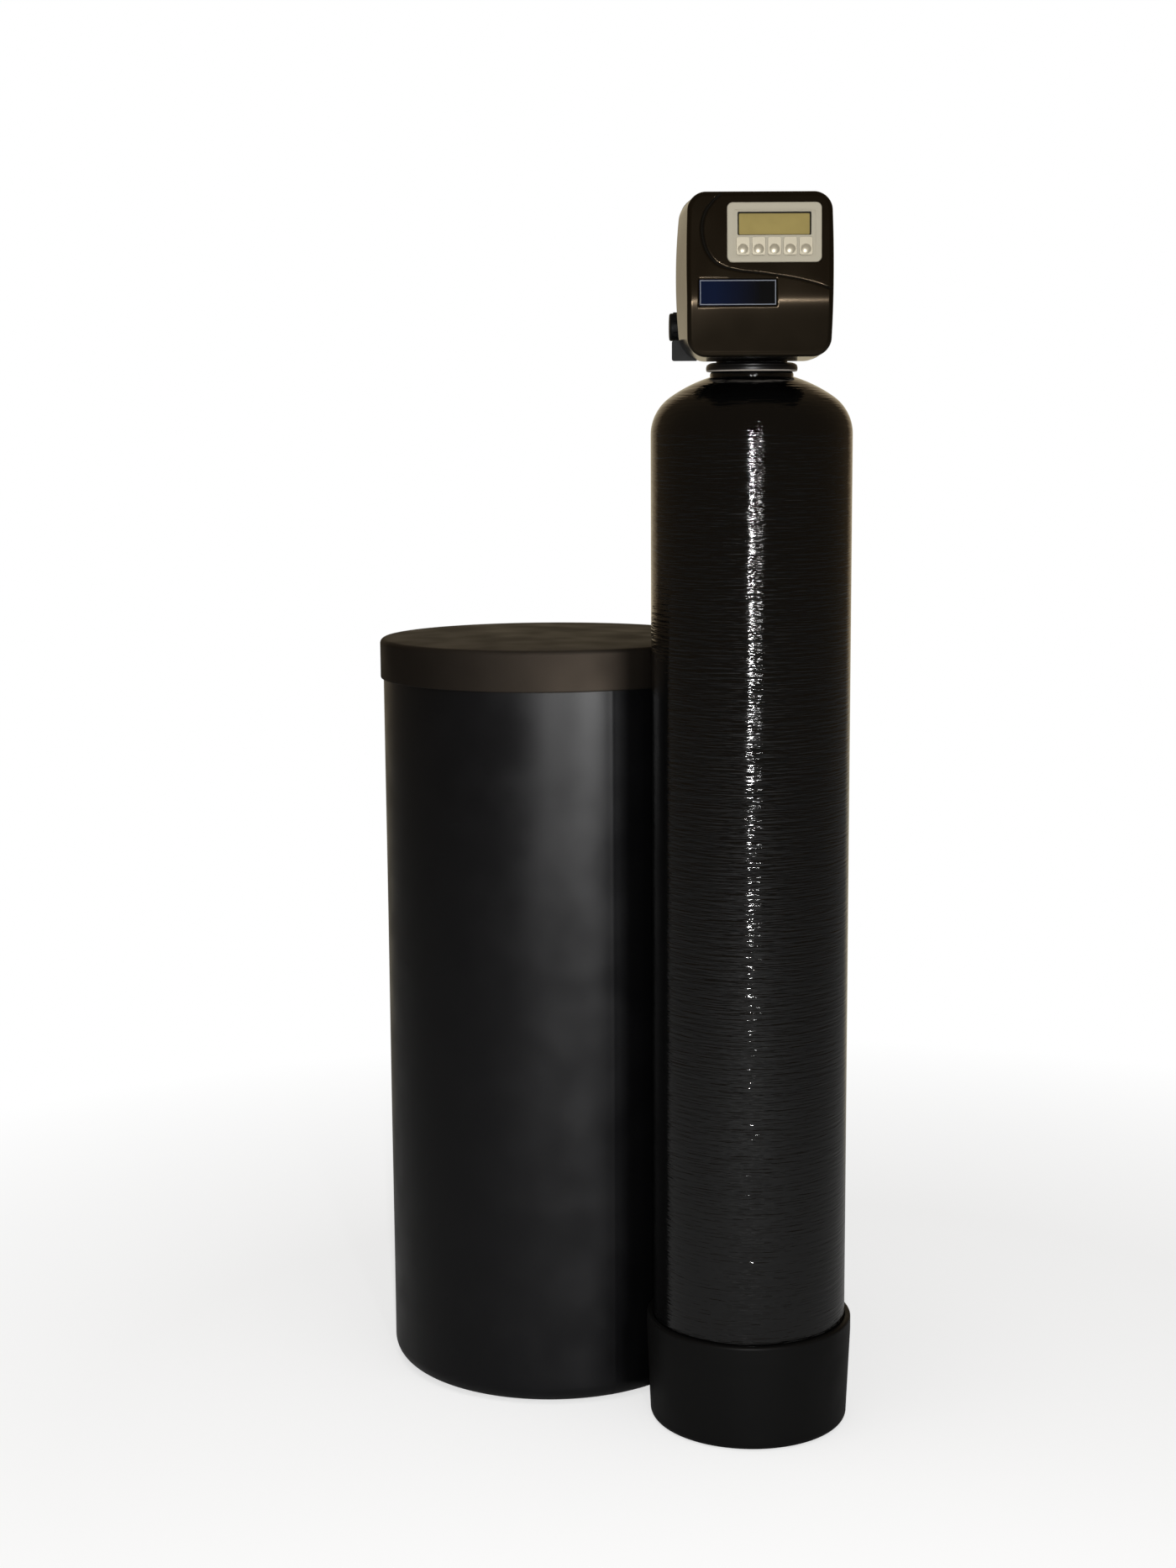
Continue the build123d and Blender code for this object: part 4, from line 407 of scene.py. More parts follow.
def wound_fibreglass(settings):
    """Epoxy over wound glass strands: gloss black, ridged across, so a lamp breaks into a sparkling streak."""
    material, tree, shader = new_material(
        "wound_fibreglass", Base_Color=settings.resin_black, Roughness=0.09, IOR=1.5, Specular_IOR_Level=0.44)
    # The strands lie nearly level, so the lumps are long round the tank and one strand pitch high.
    strands = noise(tree, place(tree, scale=(0.06, 0.06, 1.0)), settings.strand_pitch, roughness=0.6)
    crossing = noise(tree, place(tree, scale=(0.5, 0.5, 1.0), rotation=(0.15, 0.1, 0)), 14.0)
    first = bump(tree, strands, settings.strand_depth)
    # Small lumps of resin between the strands break the streak into glints.
    lumps = noise(tree, place(tree), 3.0, detail=1.0)
    second = bump(tree, lumps, depth_mm=0.045, under=first)
    feed(shader, Normal=bump(tree, crossing, depth_mm=0.28, under=second),
         Roughness=ramp(tree, crossing, 0.35, 0.7, 0.05, 0.1))
    return material


def moulded_plastic(name, color, rough=0.5, grain_mm=0.9, grain_depth=0.03, specular=0.15, waviness=0.15, tint=WHITE):
    """Moulded plastic: spark-eroded grain over slight waves, so its sheen is soft and uneven.

    The grain is drawn coarser than the real one, which is about 0.1 mm."""
    material, tree, shader = new_material(
        name, Base_Color=color, Roughness=rough, Specular_IOR_Level=specular, Specular_Tint=tint)
    grain = noise(tree, place(tree), grain_mm)
    waves = noise(tree, place(tree), 60.0, detail=1.0)
    worn = ramp(tree, waves, 0.35, 0.75, 0, 0.5)
    feed(shader, Normal=bump(tree, waves, waviness, under=bump(tree, grain, grain_depth)),
         Roughness=ramp(tree, waves, 0.3, 0.7, rough * 0.88, rough * 1.12),
         Base_Color=mixed(tree, worn, color, scaled(color, 1.25)))
    return material


def metal(name, code, rough, size_mm=3.2):
    """Turned or plated metal: bright, its highlights drawn out by fine tool lines, drawn coarser than real ones."""
    material, tree, shader = new_material(name, Base_Color=linear(code), Metallic=1.0, Roughness=rough)
    lines = noise(tree, place(tree, scale=(1, 12, 1)), size_mm, detail=3.0)
    feed(shader, Normal=bump(tree, lines, 0.02), Roughness=ramp(tree, lines, 0.3, 0.7, rough * 0.8, rough * 1.25))
    return material


def loose_beads(name, light, dark, size_mm):
    """Loose beads or stones: rounded cells, each a little lighter or darker. The resin's beads are really 0.6 mm."""
    material, tree, shader = new_material(name, Roughness=0.55)
    cells = add_node(tree, "TexVoronoi", Vector=place(tree), Scale=1 / (size_mm * MM))
    tint = add_node(tree, "RGBToBW", i0=cells.outputs["Color"]).outputs[0]
    height = ramp(tree, cells.outputs["Distance"], 0, 0.7, 1, 0)
    feed(shader, Normal=bump(tree, height, size_mm * 0.4), Base_Color=mixed(tree, tint, linear(light), linear(dark)))
    return material


def silver_paint(name, settings, rough, metallic=0.1, lighter=1.0):
    """Silver lacquer on moulded plastic: pale, with a soft sheen that each dome draws to a glint.

    Its flakes are drawn coarser than the real ones, which are under 0.1 mm."""
    silver = scaled(settings.silver, lighter)
    material, tree, shader = new_material(name, Metallic=metallic, Roughness=rough, Base_Color=silver)
    flake = noise(tree, place(tree), 0.6, detail=1.0)
    feed(shader, Normal=bump(tree, flake, 0.01), Base_Color=mixed(tree, flake, silver, scaled(silver, 1.12)))
    return material


def liquid_crystal(settings):
    """An unlit reflective liquid crystal display behind clear plastic: a glossy, slightly clouded olive."""
    material, tree, shader = new_material(
        "olive_liquid_crystal", Roughness=0.18, Specular_IOR_Level=0.35, Base_Color=settings.display_olive)
    cloud = noise(tree, place(tree), 18.0, detail=1.0)
    feed(shader, Base_Color=mixed(tree, cloud, settings.display_olive, scaled(settings.display_olive, 0.82)))
    return material


def bare_label(settings):
    """A printed vinyl label, bare: blue at the left fading to black at the right, a thin pale line near its edge."""
    low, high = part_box("badge_plate")
    line_from, line_to, width = 0.9 * MM, 1.9 * MM, high.x - low.x
    material, tree, shader = new_material("bare_vinyl_label", Roughness=0.15, Specular_IOR_Level=0.15)
    spot = add_node(tree, "SeparateXYZ", i0=place(tree)).outputs
    share = ramp(tree, spot[0], low.x + 0.2 * width, low.x + 0.8 * width)
    print_colour = mixed(tree, share, settings.label_blue, settings.label_black)
    # How far a place lies inside the nearest edge: half the size, less the distance from the middle.
    inside = []
    for axis, least, most in ((0, low.x, high.x), (2, low.z, high.z)):
        away = math_node(tree, "ABSOLUTE", math_node(tree, "SUBTRACT", spot[axis], (least + most) / 2), 0)
        inside.append(math_node(tree, "SUBTRACT", (most - least) / 2, away))
    edge = math_node(tree, "MINIMUM", *inside)
    line_share = math_node(tree, "MULTIPLY", math_node(tree, "GREATER_THAN", edge, line_from),
                           math_node(tree, "LESS_THAN", edge, line_to))
    feed(shader, Base_Color=mixed(tree, line_share, print_colour, settings.label_line))
    return material


# Pieces


class SOFTENER_OT_resin_tank(bpy.types.Operator):
    """Makes the wound tank's surface: a straight wall between two dished ends, with a moulded neck"""
    bl_idname = "softener.resin_tank"
    bl_label = "Resin tank"

    def execute(self, context):
        settings = context.scene.softener_resin_tank
        low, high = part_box("tank_shell")
        radius = half_width("tank_shell")
        knuckle, crown = settings.knuckle, settings.crown
        slope = math.asin((radius - knuckle) / (crown - knuckle))
        drop = (crown - knuckle) * math.cos(slope)
        foot, bore, neck_straight, neck_round = 3 * MM, 32 * MM, 14 * MM, 4 * MM
        straight_low = low.z + foot + crown - drop
        slope_deg = math.degrees(slope)
        neck_turn = math.degrees(math.asin(settings.neck / crown))
        knuckle_x = radius - knuckle
        profile = np.vstack([
            (0, low.z + foot),
            arc((0, straight_low + drop), crown, -90, -90 + slope_deg, 40)[1:],
            arc((knuckle_x, straight_low), knuckle, -90 + slope_deg, 0, 32)[1:],
            line((radius, straight_low), (radius, settings.shoulder), 160)[1:],
            arc((knuckle_x, settings.shoulder), knuckle, 0, 90 - slope_deg, 40)[1:],
            arc((0, settings.shoulder - drop), crown, 90 - slope_deg, 90 - neck_turn, 30)[1:],
            line((settings.neck, high.z - neck_straight), (settings.neck, high.z - neck_round), 8),
            arc((settings.neck - neck_round, high.z - neck_round), neck_round, 0, 90, 8)[1:],
            line((settings.neck - neck_round, high.z), (bore, high.z), 4)[1:],
            line((bore, high.z), (bore, settings.shoulder), 4)[1:],
        ])
        piece = turned_piece("wound_tank", profile, 384)
        finish_piece(piece, wound_fibreglass(settings), "base", "wound_tank", "tank_shell")
        return {"FINISHED"}


class SOFTENER_OT_boot(bpy.types.Operator):
    """Makes the boot: a tapered cup with a rim band, a rounded foot and a rounded lip"""
    bl_idname = "softener.boot"
    bl_label = "Boot"

    def execute(self, context):
        settings = context.scene.softener_resin_tank
        low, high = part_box("tank_boot")
        rim = half_width("tank_boot")
        taper, seat_gap, floor = 5 * MM, 0.3 * MM, 5 * MM
        base = rim - taper
        inner = half_width("tank_shell") + seat_gap
        foot, lip, band, inner_lip = 9 * MM, 4 * MM, 22 * MM, 1.5 * MM
        profile = np.vstack([
            (0, low.z), (base - foot, low.z),
            arc((base - foot, foot), foot, -90, 2, 16)[1:],
            line((base, foot + 1 * MM), (rim, high.z - band), 24)[1:],
            line((rim, high.z - band), (rim, high.z - lip), 8)[1:],
            arc((rim - lip, high.z - lip), lip, 0, 90, 12)[1:],
            arc((inner + inner_lip, high.z - inner_lip), inner_lip, 90, 180, 6),
            (inner, low.z + floor), (0, low.z + floor),
        ])
        piece = turned_piece("moulded_boot", profile, 256)
        material = moulded_plastic("boot_polyethylene", settings.boot_black, rough=0.5, specular=0.14)
        finish_piece(piece, material, "base", "moulded_black", "tank_boot")
        return {"FINISHED"}


class SOFTENER_OT_salt_tank(bpy.types.Operator):
    """Makes the salt tank: a round tub with a rounded foot, a rolled rim and a mould line up its wall"""
    bl_idname = "softener.salt_tank"
    bl_label = "Salt tank"

    def execute(self, context):
        settings = context.scene.softener_salt_tank
        low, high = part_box("brine_tank")
        radius, wall, foot = half_width("brine_tank"), settings.wall, settings.base_round
        rim = wall / 2
        ridge_height, ridge_width, wave_height, sunk = 0.35 * MM, 2.2 * MM, 0.25 * MM, 0.3 * MM

        def mould_lines(turn, height):
            """Two low ridges up the wall: a bell curve of the arc's distance from each line, and slow waves."""
            ridge = 0
            for line_turn in (settings.mould_turn, settings.mould_turn + math.pi):
                away = (turn - line_turn + math.pi) % (2 * math.pi) - math.pi
                ridge = ridge + np.exp(-(away * radius / ridge_width) ** 2)
            waves = np.sin(3 * turn + 5 * height) * np.sin(7 * height + 1.3)
            return ridge_height * ridge - sunk + wave_height * waves

        profile = np.vstack([
            (0, low.z), (radius - foot, low.z),
            arc((radius - foot, low.z + foot), foot, -90, 0, 20)[1:],
            line((radius, low.z + foot), (radius, high.z - rim), 60)[1:],
            arc((radius - rim, high.z - rim), rim, 0, 180, 10)[1:],
            line((radius - wall, high.z - rim), (radius - wall, low.z + foot), 20)[1:],
            arc((radius - foot, low.z + foot), foot - wall, 0, -90, 12)[1:],
            (0, low.z + wall),
        ])
        piece = turned_piece("salt_tub", profile, 640, middle("brine_tank"), mould_lines)
        hole = next(mount for mount in frame["record"]["mounts"] if mount["name"] == "brine_line_hole")
        bore_hole(piece, hole["pos_m"], hole["axis"], hole["dims"]["r_mm"] * MM, 8 * wall)
        material = moulded_plastic(
            "tub_polyethylene", settings.tub_black, rough=0.36, grain_mm=1.4, specular=0.22, waviness=0.1)
        finish_piece(piece, material, "base", "tub_black", "brine_tank")
        return {"FINISHED"}


class SOFTENER_OT_lid(bpy.types.Operator):
    """Makes the salt tank's lid: a shallow crown, a rounded edge and a deep skirt"""
    bl_idname = "softener.lid"
    bl_label = "Salt tank lid"

    def execute(self, context):
        settings = context.scene.softener_salt_tank
        low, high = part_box("brine_lid")
        radius = half_width("brine_lid")
        crown, edge, wall, stop_from, stop_to, lip = (length * MM for length in (4, 7, 3, 2, 4, 1))
        rim_z = high.z - crown
        reach = radius - edge
        ball = (reach ** 2 + crown ** 2) / (2 * crown)
        across = np.linspace(reach, 0, 60)
        top = np.stack([across, high.z - ball + np.sqrt(ball ** 2 - across ** 2)], axis=1)
        # The underside ends a little short of the edge, which keeps the wall's thickness.
        under = np.stack([across[::-1] * 0.99, top[::-1, 1] - wall], axis=1)
        profile = np.vstack([
            under,
            (radius - wall, rim_z - wall - stop_from),
            line((radius - wall, rim_z - wall - stop_to), (radius - wall, low.z + lip), 10),
            arc((radius - wall / 2, low.z + wall / 2), wall / 2, 180, 360, 10),
            line((radius, low.z + wall / 2), (radius, rim_z - edge), 24)[1:],
            arc((reach, rim_z - edge), edge, 0, 90, 16)[1:],
            top[1:],
        ])
        piece = turned_piece("lid_shell", profile, 384, middle("brine_lid"))
        material = moulded_plastic(
            "lid_polyethylene", settings.lid_black, rough=0.62, grain_mm=1.2, specular=0.2, tint=linear("#ffe6cc"))
        finish_piece(piece, material, "lid", "lid_black", "brine_lid")
        return {"FINISHED"}


class SOFTENER_OT_cover(bpy.types.Operator):
    """Makes the valve's moulded cover: a drafted shell with a soft crease, a sweeping groove and a display opening"""
    bl_idname = "softener.cover"
    bl_label = "Valve cover"

    # Places along the groove, in shares of the face's half width and upper height, and its half width in mm.
    groove_share = np.array((
        (-0.50, 1.05, 1.3), (-0.56, 0.97, 1.8), (-0.66, 0.90, 2.5), (-0.76, 0.80, 3.0), (-0.80, 0.65, 3.1),
        (-0.74, 0.47, 2.8), (-0.59, 0.345, 2.2), (-0.33, 0.285, 1.7), (0.03, 0.255, 1.5), (0.38, 0.220, 1.4),
        (0.69, 0.175, 1.4), (0.945, 0.118, 1.3), (1.05, 0.095, 1.2),
    ))

    opening_corner, bezel_corner = 1.5 * MM, 7 * MM
    # The bezel's seat, outwards from its edge: how far out, and how deep where it isn't the seat's own depth.
    bezel_clearance, seat_top, seat_round = 0.4 * MM, (0.6 * MM, 0.3 * MM), 1 * MM
    # The inside's walls end at this share of the way from the back edge to the face.
    inside_reach = 0.94
    # A place belongs to the groove where it is carved more than the least, and lies no deeper than the most.
    groove_least, groove_most, groove_widest, groove_shallowest = 0.25 * MM, 2.4 * MM, 3.1 * MM, 0.55
    pocket_depth, pocket_clearance, pocket_slope, pocket_reach = 0.9 * MM, 0.3 * MM, 1.4 * MM, 2.2 * MM
    mask_lap, mask_corner = 1.2 * MM, 1.4 * MM
    # Rings of the mask: how far in from its edge, and how far in front of the surround's seat, in mm.
    mask_rings = ((0, 0.1), (0, 0.5), (1.9, 0.25), (1.9, 0.1))

    def execute(self, context):
        settings = context.scene.softener_cover
        low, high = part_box("front_cover")
        half = half_width("front_cover")
        back_y, crease_y, crease_z = high.y, low.y, low.z + settings.crease_rise
        self.settings, self.crease = settings, (crease_y, crease_z)
        back = rounded_outline(half - settings.back_bow, settings.back_bow, low.z, high.z, settings.back_corner)
        face_half = half - settings.side_draft
        front = rounded_outline(
            face_half - settings.face_bow, settings.face_bow, low.z + settings.low_draft,
            high.z - settings.high_draft, settings.face_corner)
        self.carve_sizes = (face_half, high.z - settings.high_draft - crease_z)

        def side_at(share):
            return back + (front - back) * np.reshape(share, (-1, 1))

        # The sides end one edge radius behind the face. Three rounds find where.
        sideways, edge = outward(front), settings.edge_round
        start_share = np.ones(len(front))
        for _ in range(3):
            inner = side_at(start_share) - edge * sideways
            start_share = (back_y - self.face_y(inner[:, 1]) - edge) / (back_y - crease_y)

        bezel_low, bezel_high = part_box("display_bezel")
        bezel = [(bezel_high.x - bezel_low.x) / 2, bezel_low.z, bezel_high.z, (bezel_high.x + bezel_low.x) / 2]

        def bezel_outline(grow, corner):
            return rounded_outline(bezel[0] + grow, 0, bezel[1] - grow, bezel[2] + grow, corner, bezel[3])

        wall, border = settings.wall, settings.bezel_border
        opening = bezel_outline(-border, self.opening_corner)
        rings = [self.ring(opening, wall), self.ring(opening, settings.bezel_seat)]
        for grow, sunk in ((0, settings.bezel_seat), (self.bezel_clearance, settings.bezel_seat), self.seat_top):
            rings.append(self.ring(bezel_outline(grow, self.bezel_corner + grow), sunk))
        first = bezel_outline(self.seat_round, self.bezel_corner + self.seat_round)
        # Over the face, closer together near the surround.
        for share in np.linspace(0, 1, 96) ** 1.6:
            places = first + (inner - first) * share
            rings.append(self.ring(places, self.carved(places)))
        for turn in np.radians(np.linspace(0, 90, 10)[1:]):
            places = inner + edge * math.sin(turn) * sideways
            y = self.face_y(inner[:, 1]) + edge * (1 - math.cos(turn)) + self.carved(places) * math.cos(turn)
            rings.append(self.with_depth(places, y))
        # Down the outside from face to back edge, and up the inside again.
        down, up = np.linspace(1, 0, 12)[1:], np.linspace(0, self.inside_reach, 5)
        for share, inset in [(share, 0) for share in down] + [(share, wall) for share in up]:
            places = side_at(start_share * share) - inset * sideways
            rings.append(self.with_depth(places, back_y - start_share * share * (back_y - crease_y)))
        last = side_at(start_share * self.inside_reach) - wall * 2 * sideways
        for share in np.linspace(0, 1, 8)[:-1]:
            rings.append(self.ring(last + (opening - last) * share, wall))
        rings.append(rings[0])
        piece = grid_piece("cover_shell", np.stack(rings), close_columns=True)
        self.paint_display_shade()
        valve = context.scene.softener_valve
        # A satin moulding with almost no grain: its crease draws the lamp to a thin line, and its faces stay dark.
        material = moulded_plastic(
            "satin_abs_cover", valve.cover_black, rough=0.17, grain_mm=0.8, grain_depth=0.005, specular=0.3,
            waviness=0.05, tint=linear("#ffe2be"))
        finish_piece(piece, material, "cover", "cover_black", "front_cover")
        self.dull_groove(piece, moulded_plastic("grained_abs_groove", valve.cover_black, rough=0.6, specular=0.08))
        return {"FINISHED"}

    def dull_groove(self, piece, material):
        """The groove keeps its spark-eroded grain, so it stays dark: faces whose middles are carved deep take it."""
        faces = piece.data.polygons
        centres = np.empty(len(faces) * 3)
        faces.foreach_get("center", centres)
        centres = centres.reshape(-1, 3)
        places = centres[:, (0, 2)]
        depth = centres[:, 1] - self.face_y(places[:, 1])
        off_label = np.any(self.past_label(places) > self.pocket_reach, axis=1)
        sunk = (self.carved(places) > self.groove_least) & (depth < self.groove_most) & off_label
        piece.data.materials.append(material)
        faces.foreach_set("material_index", sunk.astype(np.int32))

    def paint_display_shade(self):
        """A thin black border round the display, painted shade of its recess: rings stepped in from the surround's
        window, in front of the glass.

        Its lower border is 0.6 of the width of the others, so the painted shade is wider at the top and sides than at
        the bottom."""
        low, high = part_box("display_window")
        lap = self.mask_lap
        half, middle_x = (high.x - low.x) / 2 - lap, (high.x + low.x) / 2
        rings = []
        for step, out in self.mask_rings:
            bottom, top = low.z + lap + step * MM * 0.6, high.z - lap - step * MM
            outline = rounded_outline(half - step * MM, 0, bottom, top, self.mask_corner, middle_x)
            rings.append(self.ring(outline, self.settings.bezel_seat - out * MM))
        piece = grid_piece("display_mask", np.stack(rings + rings[:1]), close_columns=True)
        # Black painted shade where the recess round the display falls into shadow.
        material = moulded_plastic("black_mask_print", linear("#14110c"), rough=0.6)
        finish_piece(piece, material, "cover", "display_glass")

    def face_y(self, z):
        """Depth of the face at a height: the larger of two leaning planes, their meeting rounded by a square root."""
        crease_y, crease_z = self.crease
        up, down = math.tan(self.settings.upper_lean), math.tan(self.settings.lower_lean)
        rise = z - crease_z
        rounded = np.sqrt(((up + down) * rise) ** 2 + self.settings.crease_soft ** 2)
        return crease_y + ((up - down) * rise + rounded) / 2

    def with_depth(self, places, y):
        """Places in x and z with a depth each, as points."""
        return np.stack([places[:, 0], np.broadcast_to(y, len(places)), places[:, 1]], axis=1)

    def ring(self, places, sunk):
        """Places in x and z put on the face and sunk into it by a depth."""
        return self.with_depth(places, self.face_y(places[:, 1]) + sunk)

    def past_label(self, places):
        """How far places in x and z lie outside the label, along x and along z."""
        low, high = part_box("badge_plate")
        return np.maximum(np.maximum((low.x, low.z) - places, places - (high.x, high.z)), 0)

    def carved(self, places):
        """How deep the face is carved, by the groove or by the shallow pocket round the label.

        The groove is its depth times the square of one less the squared share of its half width."""
        face_half, upper_height = self.carve_sizes
        knots = self.groove_share * (face_half, upper_height, MM) + (0, self.crease[1], 0)
        along = np.linspace(0, len(knots) - 1, 260)
        curve = np.stack([smooth_curve(along, knots[:, i]) for i in range(3)], axis=1)
        nearest, width = np.full(len(places), 1.0), np.full(len(places), 1.0 * MM)
        for x, z, half in curve:
            distance = np.hypot(places[:, 0] - x, places[:, 1] - z)
            width = np.where(distance < nearest, half, width)
            nearest = np.minimum(nearest, distance)
        bowl = np.clip(1 - (nearest / width) ** 2, 0, 1) ** 2
        groove = self.settings.groove_depth * np.clip(width / self.groove_widest, self.groove_shallowest, 1) * bowl
        beyond = np.hypot(*self.past_label(places).T) - self.pocket_clearance
        pocket = self.pocket_depth * (1 - smooth_step(beyond / self.pocket_slope))
        return np.maximum(groove, pocket)


class SOFTENER_OT_collar(bpy.types.Operator):
    """Makes the bulging collar that wraps the valve's flange, its lower rim painted pale as a painted highlight"""
    bl_idname = "softener.collar"
    bl_label = "Valve collar"

    # Radius and height above the tank's neck, in millimetres: up the outside from the rim, and over to the neck.
    outside = np.array((
        (55.2, -0.3), (56.9, 0.1), (57.6, 1.0), (57.9, 2.4), (58.0, 4.2), (57.7, 6.0), (56.8, 7.8), (55.2, 9.3),
        (53.0, 10.4), (50.5, 11.0), (48.0, 11.2), (45.2, 11.2),
    ))
    inside = np.array(((45.2, 8.2), (57.15, 8.2), (57.15, 0.6), (55.2, 0.6)))
    # The painted highlight on the lower rim fades out from the second of these heights to the first.
    highlight_fade = (1.8 * MM, 1.2 * MM)

    def execute(self, context):
        valve = context.scene.softener_valve
        along = np.linspace(0, len(self.outside) - 1, 60)
        curve = np.stack([smooth_curve(along, self.outside[:, i]) for i in range(2)], axis=1)
        profile = np.vstack([curve, self.inside, curve[:1]]) * MM
        low_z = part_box("tank_shell")[1].z
        profile[:, 1] += low_z
        piece = turned_piece("valve_collar", profile, 160, middle("tank_shell"))
        material = moulded_plastic("glass_filled_nylon_collar", valve.body_black, rough=0.38, specular=0.4)
        tree = material.node_tree
        shader = next(node for node in tree.nodes if node.type == "BSDF_PRINCIPLED")
        plain = shader.inputs["Base Color"].links[0].from_socket
        # The lower rim is painted pale: a painted highlight along the collar's edge.
        height = add_node(tree, "SeparateXYZ", i0=place(tree)).outputs[2]
        painted_highlight = ramp(tree, height, *(low_z + rise for rise in self.highlight_fade))
        feed(shader, Base_Color=mixed(tree, painted_highlight, plain, valve.rim_highlight_paint))
        finish_piece(piece, material, "base", "valve_black")
        return {"FINISHED"}


class SOFTENER_OT_cad_finishes(bpy.types.Operator):
    """Gives every carried-over piece the finish of its record slot"""
    bl_idname = "softener.cad_finishes"
    bl_label = "Finishes of the carried-over pieces"

    def execute(self, context):
        valve, tank = context.scene.softener_valve, context.scene.softener_resin_tank
        white = linear("#d9d8d2")
        # Moulded blacks are dull and finely grained, pale plastics and lacquers glossier, and metals mirror the room.
        finishes = {
            "moulded_black": moulded_plastic("black_polypropylene", tank.boot_black, rough=0.5),
            "white_pvc": moulded_plastic("white_rigid_pvc", white, rough=0.38, grain_depth=0.01, specular=0.5),
            "gravel": loose_beads("quartz_gravel", "#9a8d78", "#5d5346", 4.0),
            "resin": loose_beads("amber_resin_beads", "#8a4f1c", "#5a2f10", 1.2),
            "valve_black": moulded_plastic("glass_filled_nylon", valve.body_black, rough=0.46),
            "seal_rubber": moulded_plastic("epdm_rubber", linear("#0c0c0c"), rough=0.7, specular=0.3),
            "grey_spacer": moulded_plastic("grey_acetal", linear("#8f9296"), rough=0.4, specular=0.5),
            "coated_piston": moulded_plastic("ptfe_coated_plastic", linear("#d3d2cb"), rough=0.25, specular=0.5),
            "white_acetal": moulded_plastic("natural_acetal", linear("#dcdbd3"), rough=0.35, specular=0.5),
            "brass": metal("turned_brass", "#d8b56a", 0.28),
            "motor_steel": metal("zinc_plated_steel", "#b9bcc0", 0.34),
            "shaft_steel": metal("ground_steel", "#c8c9cb", 0.2),
            "cover_black": moulded_plastic("satin_abs", valve.cover_black, rough=0.4, grain_mm=0.7, specular=0.35),
            "silver_bezel": silver_paint("silver_lacquer", valve, 0.5),
            "silver_button": silver_paint("silver_key_lacquer", valve, 0.36, metallic=0.45, lighter=1.22),
            "display_glass": liquid_crystal(valve),
            "badge_blue": bare_label(valve),
            "board_green": moulded_plastic("solder_mask", linear("#1c5a33"), rough=0.3, specular=0.5),
            "nozzle_white": moulded_plastic("moulded_nozzle", white, rough=0.4, specular=0.5),
            "red_knob": moulded_plastic("red_abs", valve.knob_red, rough=0.4, specular=0.5),
            "tub_black": moulded_plastic("black_polyethylene", linear("#0b0b0c")),
            "lid_black": moulded_plastic("black_lid_polyethylene", linear("#100f0e")),
            "wound_tank": moulded_plastic("black_epoxy", linear("#070707")),
            "float_foam": moulded_plastic("closed_cell_foam", linear("#cfcdc4"), rough=0.8),
        }
        slots = {entry["node"]: entry["material_slot"] for entry in frame["record"]["subparts"]}
        for name, node in frame["nodes"].items():
            node.data.materials.clear()
            node.data.materials.append(finishes[slots[name]])
        return {"FINISHED"}


# Stage


